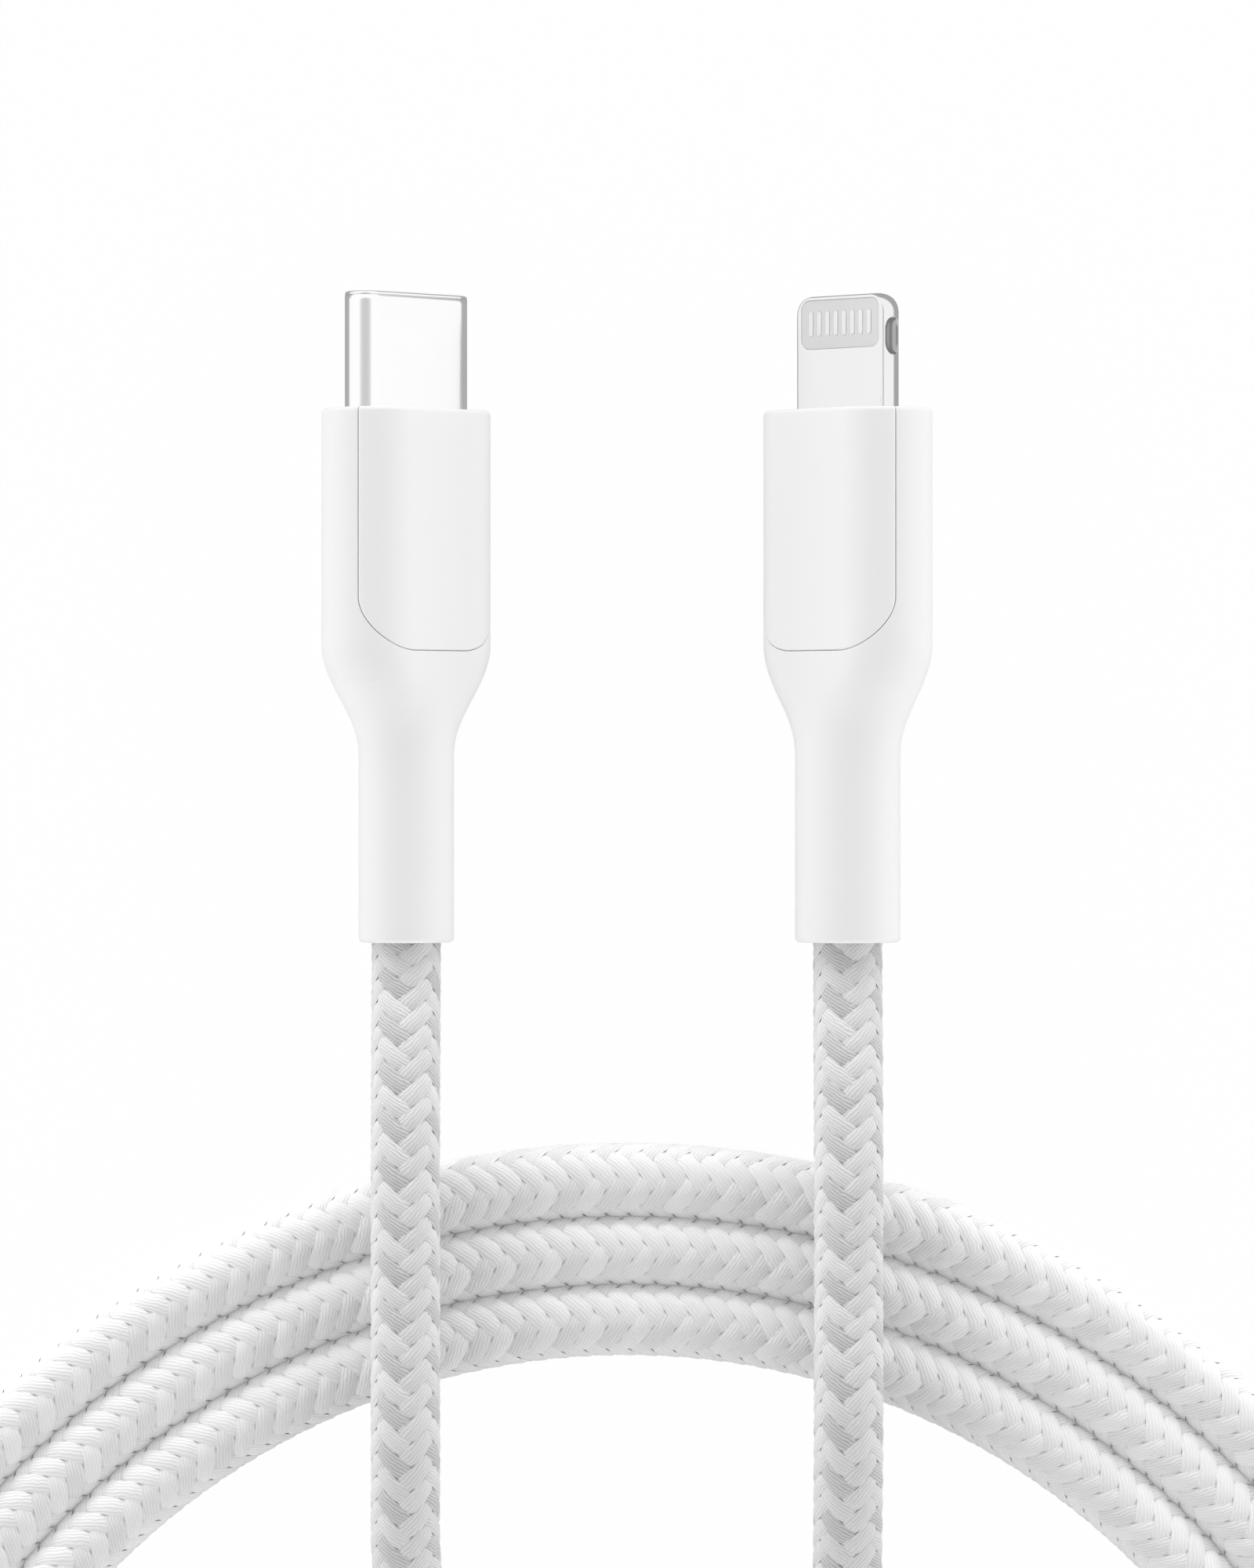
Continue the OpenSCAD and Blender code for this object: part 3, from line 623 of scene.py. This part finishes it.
    def build(self) -> None:
        """Makes the moulding and its two panels."""
        show(self.body().mesh(f"{self.name}_grip", self.place), HOUSING, "housing",
             f"{self.name}_plug_housing")
        for side, flip in (("front", 1), ("back", -1)):
            show(self.panel(flip).mesh(f"{self.name}_{side}_inlay", self.place), PANEL, "panel",
                 f"{self.name}_plug_{side}_panel")


# ---- Noses ----

@dataclass
class OvalNose:
    """Drawn steel shell with its lip rolled in."""

    place: Place
    width: float = 8.25
    thick: float = 2.4
    length: float = 6.65
    wall: float = 0.25
    roll: float = 0.15
    groove: float = 0.06
    root: float = -3.4

    def build(self) -> None:
        """Makes the shell from its wall's profile, carried round the oval."""
        lip = [(inset, self.length - below) for inset, below in quarter(self.roll, 9)]
        outside = [(0.0, z) for z in (self.root, 0.0, 5.0, 6.1)]
        groove = [(inset, self.length - self.roll - below) for inset, below in (
            (0.0, 0.07), (self.groove, 0.055), (self.groove, 0.025), (0.0, 0.01))]
        mouth = [(inset, self.length - below) for inset, below in (
            (0.42, 0.03), (0.43, 0.1), (0.36, 0.19), (0.27, 0.26), (self.wall, 0.4))]
        profile = [*outside, *groove, *lip, *mouth, (self.wall, 3.0), (self.wall, self.root)]
        s = np.linspace(-1, 1, 65)
        flat = (self.width - self.thick) / 2
        made = Skin()
        rows = []
        for inset, z in profile:
            x, y = stadium(s, flat, self.thick / 2 - inset, share=0.25)
            front = np.stack([x, y, 0 * x + z], axis=-1)
            rows.append(np.concatenate([front, (front * np.array([1, -1, 1]))[-2:0:-1]]))
        made.grid(np.stack(rows), closed=True, away=(0, 0, 3))
        show(made.mesh("oval_nose", self.place), SHELL, "shell", "oval_plug_shell")


@dataclass
class BladeNose:
    """Steel frame of the blade: a window in each face and a scoop in each side."""

    place: Place
    width: float = 6.7
    thick: float = 1.5
    length: float = 6.6
    corner: float = 1.1
    edge: float = 0.16
    crown: float = 1.3
    pocket: tuple[float, float, float] = (0.60, 1.04, 0.34)
    pocket_z: float = 4.125
    window: tuple[float, float, float, float] = (5.6, 3.53, 6.33, 0.55)
    ledge: float = 0.03
    root: float = -1.1
    root_corner: float = 0.4
    side_x: float = 2.9
    sunk_from: float = 0.03

    def loop(self, width: float, low: float, high: float, top: float, foot: float) -> np.ndarray:
        """A rectangle with round corners.

        Args:
            width: Its width.
            low: Height of its foot.
            high: Height of its top.
            top: Radius of the upper corners.
            foot: Radius of the lower ones.

        Returns:
            x, z and the outward normal of the same number of points for any sizes.
        """
        rise = np.concatenate([np.linspace(0, 0.5, 9), np.linspace(0.5, 1.0, 56)[1:]])
        points = []
        for z in low + foot + (high - top - low - foot) * rise:
            points.append((width / 2, z, 1.0, 0.0))
        for a in np.radians(np.linspace(0, 90, 13)[1:]):
            points.append((width / 2 - top + top * math.cos(a), high - top + top * math.sin(a),
                           math.cos(a), math.sin(a)))
        for part in np.linspace(1, 0, 7)[1:]:
            points.append(((width / 2 - top) * part, high, 0.0, 1.0))
        half = np.array(points)
        lower = []
        for a in np.radians(np.linspace(0, 90, 9)[1:]):
            lower.append((width / 2 - foot + foot * math.cos(a), low + foot - foot * math.sin(a),
                          math.cos(a), -math.sin(a)))
        for part in np.linspace(1, 0, 7)[1:]:
            lower.append(((width / 2 - foot) * part, low, 0.0, -1.0))
        right = np.concatenate([np.array(lower)[::-1], half])
        mirrored = (right * np.array([-1, 1, -1, 1]))[::-1][1:-1]
        return np.concatenate([right, mirrored])

    def profile(self) -> list[tuple[float, float]]:
        """Depth and inset of the side's section: crowned, with a small round at each face."""
        half = self.thick / 2
        reach = (half - self.edge) / (1 - self.edge / self.crown)
        lean = math.asin(reach / self.crown)
        drop = self.crown * (1 - math.cos(lean))
        front = [(half - self.edge * (1 - math.sin(q)),
                  drop + self.edge * (math.cos(lean) - math.cos(q)))
                 for q in np.linspace(math.pi / 2, lean, 9)]
        side = [(y, self.crown - math.sqrt(self.crown ** 2 - y * y))
                for y in np.linspace(reach, -reach, 41)[1:-1]]
        return [*front, *side, *((-y, inset) for y, inset in front[::-1])]

    def rim(self, y: float, inset: float) -> np.ndarray:
        """The outer outline at depth y with its scoops; inset draws it in, its ends by less."""
        x, z, nx, nz = self.loop(self.width, self.root, self.length, self.corner,
                                 self.root_corner).T
        half, reach, depth = self.pocket
        rest = 1 - (abs(y) / half) ** 2.5 - (np.abs(z - self.pocket_z) / reach) ** 3.5
        sink = depth * np.sqrt(np.clip(rest, 0, 1))
        inset = inset * (0.4 + 0.6 * np.abs(nx))
        x, z = x - (inset + sink * (np.abs(nx) > 0.999)) * nx, z - inset * nz
        return np.stack([x, 0 * x + y, z], axis=-1)

    def build(self) -> None:
        """Makes the frame: its crowned sides with their scoops, both faces and windows."""
        half = self.thick / 2
        made = Skin()
        profile = self.profile()
        made.grid(np.stack([self.rim(*row) for row in profile]), closed=True, away=(0, 0, 2.7))
        width, low, high, radius = self.window
        opening = self.loop(width, low, high, radius, radius)
        for flip in (1, -1):
            sides = [self.rim(*profile[0])]
            inner = np.stack([opening[:, 0], 0 * opening[:, 0] + half, opening[:, 1]], axis=-1)
            outward = np.stack([opening[:, 2], 0 * opening[:, 2], opening[:, 3]], axis=-1)
            ledge = inner + self.ledge * outward
            sides += [sides[0] + (ledge - sides[0]) * part for part in (0.04, 0.5, 0.96)]
            sides += [ledge, inner + 0.01 * outward - np.array([0, 0.01, 0]),
                      inner - np.array([0, 0.03, 0]), inner - np.array([0, 0.3, 0])]
            made.grid(np.stack(sides) * np.array([1, flip, 1]), closed=True, away=(0, 0, 4))
        piece = show(made.mesh("blade_nose", self.place), BLADE, "blade", "blade_plug_blade")
        # Faces inside the scoops take the darker steel, a painted shade of the pocket.
        piece.data.materials.append(SCOOP_SHADE.material())
        centre = np.concatenate(made.points)[np.concatenate(made.faces)].mean(axis=1)
        x, y, z = np.abs(centre - np.array([0, 0, self.pocket_z])).T
        sag = self.crown - np.sqrt(self.crown ** 2 - y * y)
        sunk = ((z < self.pocket[1]) & (y < self.pocket[0]) & (x > self.side_x)
                & (x < self.width / 2 - sag - self.sunk_from))
        piece.data.polygons.foreach_set("material_index", sunk.astype(int))


# ---- Lead ----

def bend(x: float, y: float, radius: float, bearings: Sequence[float],
         heights: Sequence[float]) -> list[tuple[float, float, float]]:
    """Points of a round bend about x and y, at bearings in degrees from the right."""
    return [(x + radius * math.cos(math.radians(a)), y + radius * math.sin(math.radians(a)), z)
            for a, z in zip(bearings, heights)]


@dataclass
class Lead:
    """The braided lead: two legs and a flat coil, woven from sixteen strands over a core.

    enters, leaves and change_from are bearings on the coil, clockwise from its top.
    """

    diameter: float = 4.0
    lane_step: float = 3.9
    lane_radius: float = 43.8
    arc_y: float = -84.0
    arc_half: float = 48.0
    shoulder_radius: float = 12.0
    enters: int = -105
    leaves: int = 765
    change_from: float = 110.0
    change_over: float = 140.0
    sag: float = 3.0
    over: float = 6.0
    press: float = 1.12
    square: float = 0.88
    pitch: float = 10.7
    carriers: int = 8
    bulge: float = 0.07
    dip: float = 0.18
    dip_from: float = 0.78
    dip_over: float = 0.8
    swing_from: float = 125.0
    swing_over: float = 65.0
    core: float = 1.85
    step: float = 0.25
    # Painted shade: the legs are darker than the coil, and every other strand wound one way is darker
    # for its filaments' sheen, more so on the legs.
    pale: float = 0.98
    painted_leg_shade: float = 0.24
    painted_strand_shade: float = 0.1
    painted_strand_leg_shade: float = 0.13
    oval_leg: float = 45.0
    blade_leg: float = 105.0
    fade: float = 40.0

    def lane(self, bearing: float) -> tuple[float, float]:
        """Centre of the coil at a bearing in degrees, clockwise from its top."""
        turn = math.floor(bearing / 360)
        part = float(smooth((bearing - 360 * turn - self.change_from) / self.change_over))
        out = 0.0 if bearing < 0 else self.lane_step * (turn + part)
        a = (bearing + 180) % 360 - 180
        side, b = (-1 if a < 0 else 1), abs(a)
        sin, cos = math.sin(math.radians(b)), math.cos(math.radians(b))
        inner = self.lane_radius - self.shoulder_radius
        cx = inner * math.sin(math.radians(self.arc_half))
        cy = self.arc_y + inner * math.cos(math.radians(self.arc_half))
        if b <= self.arc_half:
            return side * (self.lane_radius + out) * sin, self.arc_y + (self.lane_radius + out) * cos
        if b <= 90:
            return (side * (cx + (self.shoulder_radius + out) * sin),
                    cy + (self.shoulder_radius + out) * cos)
        wide = cx + self.shoulder_radius + out
        return side * wide * sin, cy - self.sag * float(smooth((b - 90) / 90)) + wide * cos

    def leg(self, side: int, below: Sequence[tuple[float, float]]) -> list[tuple[float, ...]]:
        """A leg's points from inside its plug down, ending with points of y and z below."""
        top = [(-12.085, Place.z), (-19.085, Place.z), (-25.5, 5.5), (-31, self.over),
               (-38, self.over)]
        return [(side * Place.x, y, z) for y, z in (*top, *below)]

    def route(self) -> np.ndarray:
        """Points of the whole lead from inside the oval plug to inside the blade plug."""
        rest = self.diameter / 2
        oval = self.leg(-1, [(-45, self.over), (-49.5, 5.5)])
        oval += bend(2.65, -54, 15.3, (180, 201, 222), (4.6, 3.3, 2.3))
        oval += bend(-18.8, -73.86, 14.0, (21, -1, -23, -46, -69, -92, -115, -138), [rest] * 8)
        coil = [(*self.lane(bearing), rest)
                for bearing in np.arange(self.enters, self.leaves + 1, 5)]
        start, end = np.array(coil[0]), np.array(coil[-1])
        into, out = start - np.array(coil[1]), end - np.array(coil[-2])
        lead_in = start + into / np.linalg.norm(into) * 2
        lead_out = [end + out / np.linalg.norm(out) * d for d in (2, 4, 6)]
        blade = [(43.8, -57.8, 2.8), (43.9, -63.6, 5.2), (42.4, -70.6, self.over)]
        blade += bend(27.4, -70.5, 14.75, (337.5, 315, 292.5, 270, 247.5, 225, 202.5, 180),
                      [self.over] * 4 + [5.4, 4.0, 2.6, rest])
        blade += self.leg(1, [(-46, self.over), (-53, 4.4), (-60, 2.6), (-65.5, rest)])[::-1]
        return np.array([*oval, lead_in, *coil, *lead_out, *blade])

    def centreline(self) -> np.ndarray:
        """The route as one smooth curve of evenly spaced points."""
        route = self.route()
        ends = np.stack([2 * route[0] - route[1], 2 * route[-1] - route[-2]])
        knots = np.concatenate([ends[:1], route, ends[1:]])
        fine = []
        for before, first, second, after in zip(knots, knots[1:], knots[2:], knots[3:]):
            t0, t1, t2, t3 = np.cumsum([0.0] + [np.linalg.norm(b - a) ** 0.5 for a, b in (
                (before, first), (first, second), (second, after))])
            for t in np.linspace(t1, t2, 13)[:-1]:
                a1 = (t1 - t) / (t1 - t0) * before + (t - t0) / (t1 - t0) * first
                a2 = (t2 - t) / (t2 - t1) * first + (t - t1) / (t2 - t1) * second
                a3 = (t3 - t) / (t3 - t2) * second + (t - t2) / (t3 - t2) * after
                b1 = (t2 - t) / (t2 - t0) * a1 + (t - t0) / (t2 - t0) * a2
                b2 = (t3 - t) / (t3 - t1) * a2 + (t - t1) / (t3 - t1) * a3
                fine.append((t2 - t) / (t2 - t1) * b1 + (t - t1) / (t2 - t1) * b2)
        even = self.even(np.array([*fine, route[-1]]))
        spread = 12
        kernel = np.exp(-np.linspace(-2.5, 2.5, 2 * spread + 1) ** 2 / 2)
        head = even[0] + (even[0] - even[1]) * np.arange(spread, 0, -1)[:, None]
        foot = even[-1] + (even[-1] - even[-2]) * np.arange(1, spread + 1)[:, None]
        padded = np.concatenate([head, even, foot])
        line = self.even(np.stack([np.convolve(padded[:, k], kernel / kernel.sum(), "valid")
                                   for k in range(3)], axis=1))
        line[:, 2] = np.maximum(line[:, 2], self.diameter / 2)
        return line

    def even(self, points: np.ndarray) -> np.ndarray:
        """The same line with its points one step apart."""
        along = np.concatenate([[0], np.cumsum(np.linalg.norm(np.diff(points, axis=0), axis=1))])
        places = np.linspace(0, along[-1], int(along[-1] / self.step) + 1)
        return np.stack([np.interp(places, along, points[:, k]) for k in range(3)], axis=1)

    def wrap(self, line: np.ndarray, along: np.ndarray, angle: np.ndarray,
             radius: np.ndarray) -> np.ndarray:
        """Points round the lead.

        Args:
            line: The centreline.
            along: Distance along it.
            angle: Angle from the upper side, in radians.
            radius: Distance from it.

        Returns:
            The points; where lanes lie side by side the lead is pressed a little wider.
        """
        run = np.gradient(line, axis=0)
        run /= np.linalg.norm(run, axis=1)[:, None]
        up = np.array([0, 0, 1.0]) - run * run[:, 2:]
        up /= np.linalg.norm(up, axis=1)[:, None]
        lies = line[:, 2] < self.diameter / 2 + 0.05
        side = np.cross(run, up) * np.where(lies, self.press, 1.0)[:, None]
        cos, sin = np.cos(angle)[..., None], np.sin(angle)[..., None]
        place = np.clip(along / self.step, 0, len(line) - 1.001)
        low = place.astype(int)
        part = (place - low)[..., None]
        centre, upward, sideways = (a[low] * (1 - part) + a[low + 1] * part
                                    for a in (line, up, side))
        cos, sin = (np.sign(a) * np.abs(a) ** self.square for a in (cos, sin))
        return centre + radius[..., None] * (cos * upward + sin * sideways)

    def floats(self, way: int, index: int, length: float) -> tuple[np.ndarray, ...]:
        """Where the floats of one strand run.

        Args:
            way: 1 for a strand wound one way round the lead, -1 for the other.
            index: Its number among the strands of that way.
            length: Length of the lead.

        Returns:
            Distance along the lead, angle round it and distance from its centre, then distance
            along and across the strand: arrays of floats by 8 by 5.
        """
        v, w = np.meshgrid(np.linspace(-1.6, 1.6, 8), np.linspace(-1, 1, 5), indexing="ij")
        cell = self.pitch / (2 * self.carriers)
        turn = math.pi / self.carriers
        arc = (self.diameter / 2 - 0.1) * turn
        strand = math.hypot(cell, arc)
        half = arc * cell / strand
        first = (2.5 - 2 * index if way == 1 else 2 * index - 0.5) % 4
        n = np.arange(first, length / cell, 4)[:, None, None] + v
        along = n * cell - way * w * half * arc / strand
        around = way * n * turn + w * half * cell / strand / (arc / turn)
        base = 2 * turn * index + turn / 2
        swing = math.pi / 4 * smooth((along - (length - self.swing_from)) / self.swing_over)
        away = np.abs(v + way * w * half * (cell / arc - arc / cell) / (2 * strand))
        radius = (self.diameter / 2 - self.bulge * np.abs(w) ** 3
                  - self.dip * smooth((away - self.dip_from) / self.dip_over))
        return along, around + base + swing, radius + 0 * n, n * strand, w * half + 0 * n

    def tone(self, along: np.ndarray, length: float, dark: bool) -> np.ndarray:
        """Tone of a strand at a distance along the lead, with painted shade that darkens the legs and
        every other strand wound one way.
        """
        on_leg = (1 - smooth((along - self.oval_leg) / self.fade)
                  + smooth((along - (length - self.blade_leg)) / self.fade))
        return (self.pale - self.painted_leg_shade * on_leg
                - (self.painted_strand_shade + self.painted_strand_leg_shade * on_leg) * dark)

    def build(self) -> None:
        line = self.centreline()
        length = self.step * (len(line) - 1)
        made = Skin()
        rng = np.random.default_rng(7)
        laid, shades = [], []
        for way in (1, -1):
            for index in range(self.carriers):
                along, around, radius, run, across = self.floats(way, index, length)
                # Every other strand wound one way is painted darker, a painted shade for the
                # filaments' sheen.
                tone = self.tone(along, length, way == -1 and index % 2 == 1)
                tone = tone + rng.uniform(-0.05, 0.02, (len(along), 1, 1))
                for grid in self.wrap(line, along, around, radius)[:, :, ::way]:
                    made.grid(grid)
                laid.append(np.stack([run, across], axis=-1)[:, :, ::way].reshape(-1, 2))
                shades.append(tone[:, :, ::way].ravel())
        rings, around = np.meshgrid(np.arange(0, length, 1.0),
                                    np.linspace(0, 2 * math.pi, 13)[-2::-1], indexing="ij")
        made.grid(self.wrap(line, rings, around, self.core + 0 * rings), closed=True)
        laid.append(np.zeros((rings.size, 2)))
        shades.append(np.ones(rings.size))
        mesh = made.mesh("braided_lead")
        corner = np.zeros(len(mesh.loops), int)
        mesh.loops.foreach_get("vertex_index", corner)
        mesh.uv_layers.new(name="strand").data.foreach_set(
            "uv", np.concatenate(laid)[corner].ravel())
        mesh.attributes.new("shade", "FLOAT", "POINT").data.foreach_set(
            "value", np.concatenate(shades).astype(np.float32))
        piece = show(mesh, BRAID, "braid", "cable_oval_leg", "cable_coil", "cable_blade_leg")


# ---- Studio ----

@dataclass
class Studio:
    """Camera, floor, surroundings and two soft lamps, the second for the lead alone."""

    height: float = 0.3795
    centre_y: float = -0.0095
    lens: float = 150.25
    white: float = 0.98
    sky: float = 2.15
    lamp_watts: float = 0.9
    lead_watts: float = 3.4
    lamp_y: float = 0.56
    lamp_aim: float = 0.6
    lamp_width: float = 1.0

    def camera(self) -> None:
        """Looks straight down on the plugs, tips at the top of the frame."""
        data = bpy.data.cameras.new("view")
        data.lens = self.lens
        data.sensor_width = 36.0
        data.clip_start = 0.01
        made = add("view", data)
        made.location = (0, self.centre_y, self.height)
        bpy.context.scene.camera = made

    def floor(self) -> None:
        """A pale sheet, white to the camera and still taking the shadow."""
        mesh = bpy.data.meshes.new("floor")
        half = 3.0
        corners = [(-half, -half, 0), (half, -half, 0), (half, half, 0), (-half, half, 0)]
        mesh.from_pydata(corners, [], [(0, 1, 2, 3)])
        made = add("floor", mesh)
        made.location = (0, 0, -0.00003)
        material = bpy.data.materials.new("floor_paper")
        material.use_nodes = True
        graph = Graph(material.node_tree)
        grain = graph.grain(0.4, 2.0)
        paper = graph.node("ShaderNodeBsdfDiffuse", {}, {
            "Color": graph.mix(grain, (0.90, 0.90, 0.90), (0.93, 0.93, 0.93))})
        path = graph.node("ShaderNodeLightPath", output="Is Camera Ray")
        gloss = graph.node("ShaderNodeLightPath", output="Is Glossy Ray")
        length = graph.node("ShaderNodeLightPath", output="Ray Length")
        far = graph.node("ShaderNodeMapRange", {}, {
            "Value": length, "From Min": 0.024, "From Max": 0.055, "To Min": 0.42, "To Max": 1.0})
        glow = graph.node("ShaderNodeEmission", {}, {
            "Color": graph.mix(path + gloss * far, (0.0, 0.0, 0.0), (1.0, 1.0, 1.0))})
        graph.node("ShaderNodeOutputMaterial", {}, {"Surface": graph.node(
            "ShaderNodeMixShader", {}, {0: path * self.white + gloss, 1: paper, 2: glow})})
        mesh.materials.append(material)

    def surroundings(self) -> None:
        """Bright walls under a dimmer ceiling; camera and reflections see no more than white."""
        world = bpy.data.worlds.new("studio")
        bpy.context.scene.world = world
        world.use_nodes = True
        graph = Graph(world.node_tree)
        toward = graph.node("ShaderNodeTexCoord", output="Generated")
        light = graph.node("ShaderNodeValToRGB", {"stops": [
            (0.0, 1.0), (0.35, 0.9), (0.55, 0.58), (0.75, 0.24), (0.9, 0.12), (1.0, 0.10)]},
            {0: graph.part(toward, 2)})
        seen = graph.node("ShaderNodeLightPath", output="Is Camera Ray")
        gloss = graph.node("ShaderNodeLightPath", output="Is Glossy Ray")
        forward = graph.part(toward, 1)
        near = graph.node("ShaderNodeMapRange", {"interpolation_type": "SMOOTHSTEP"}, {
            "Value": forward, "From Min": -0.7, "From Max": 0.2, "To Min": 0.88, "To Max": 1.03})
        beyond = graph.node("ShaderNodeMapRange", {"interpolation_type": "SMOOTHSTEP"}, {
            "Value": forward, "From Min": 0.1, "From Max": 0.9, "To Min": 1.0, "To Max": 0.72})
        level = light * near * beyond * self.sky
        capped = graph.math("MINIMUM", level * 2.7, 1.0)
        strength = level * (1 - gloss) + capped * gloss
        background = graph.node("ShaderNodeBackground", {}, {
            "Color": (1, 1, 1, 1), "Strength": strength * (1 - seen) + seen})
        graph.node("ShaderNodeOutputWorld", {}, {"Surface": background})

    def lamp(self, name: str, watts: float, x: float, height: float,
             only: Sequence[str] = ()) -> None:
        """A soft box beyond the plug tips.

        Args:
            name: Its name.
            watts: Its power.
            x: How far right its middle is.
            height: Height of its middle.
            only: The pieces that it lights, or none for all.
        """
        data = bpy.data.lights.new(name, "AREA")
        data.shape = "RECTANGLE"
        data.size = self.lamp_width
        data.size_y = 1.8 * height
        data.energy = watts
        made = add(name, data)
        made.location = (x, self.lamp_y, height)
        made.rotation_euler = (math.atan2(height, self.lamp_aim) - math.pi / 2, 0, 0)
        made.visible_glossy = False
        if only:
            lit = bpy.data.collections.new(f"{name}_lights")
            for piece in only:
                lit.objects.link(bpy.data.objects[piece])
            made.light_linking.receiver_collection = lit

    def build(self) -> None:
        """Sets up the whole studio."""
        bpy.context.scene.view_settings.view_transform = "Standard"
        self.camera()
        self.floor()
        self.surroundings()
        self.lamp("soft_box", self.lamp_watts, x=0.0, height=0.18)
        self.lamp("low_box", self.lead_watts, x=-0.14, height=0.08, only=["braided_lead"])


# ---- Insides ----

def dress_inside() -> None:
    """Gives every node that still shows a finish of its own."""
    for name, node in sorted(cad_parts.items()):
        if node.hide_render:
            continue
        key = next((k for k in CAD_FINISHES if k in name), None)
        if key is None:
            raise ValueError(f"no finish for {name}")
        finish = CAD_FINISHES[key]
        node.data.materials.clear()
        node.data.materials.append(finish.material())
        LOG.info("%s: %s", name, finish.name)


def main() -> None:
    """Builds the studio and the cable."""
    logging.basicConfig(level=logging.INFO, format="%(name)s: %(message)s")
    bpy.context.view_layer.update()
    Lead().build()
    Studio().build()
    oval, blade = Place(-1), Place(1)
    Housing("oval", oval, Nose.OVAL, 5.5).build()
    Housing("blade", blade, Nose.BLADE, 6.07).build()
    OvalNose(oval).build()
    BladeNose(blade).build()
    dress_inside()


if __name__ == "__main__":
    main()
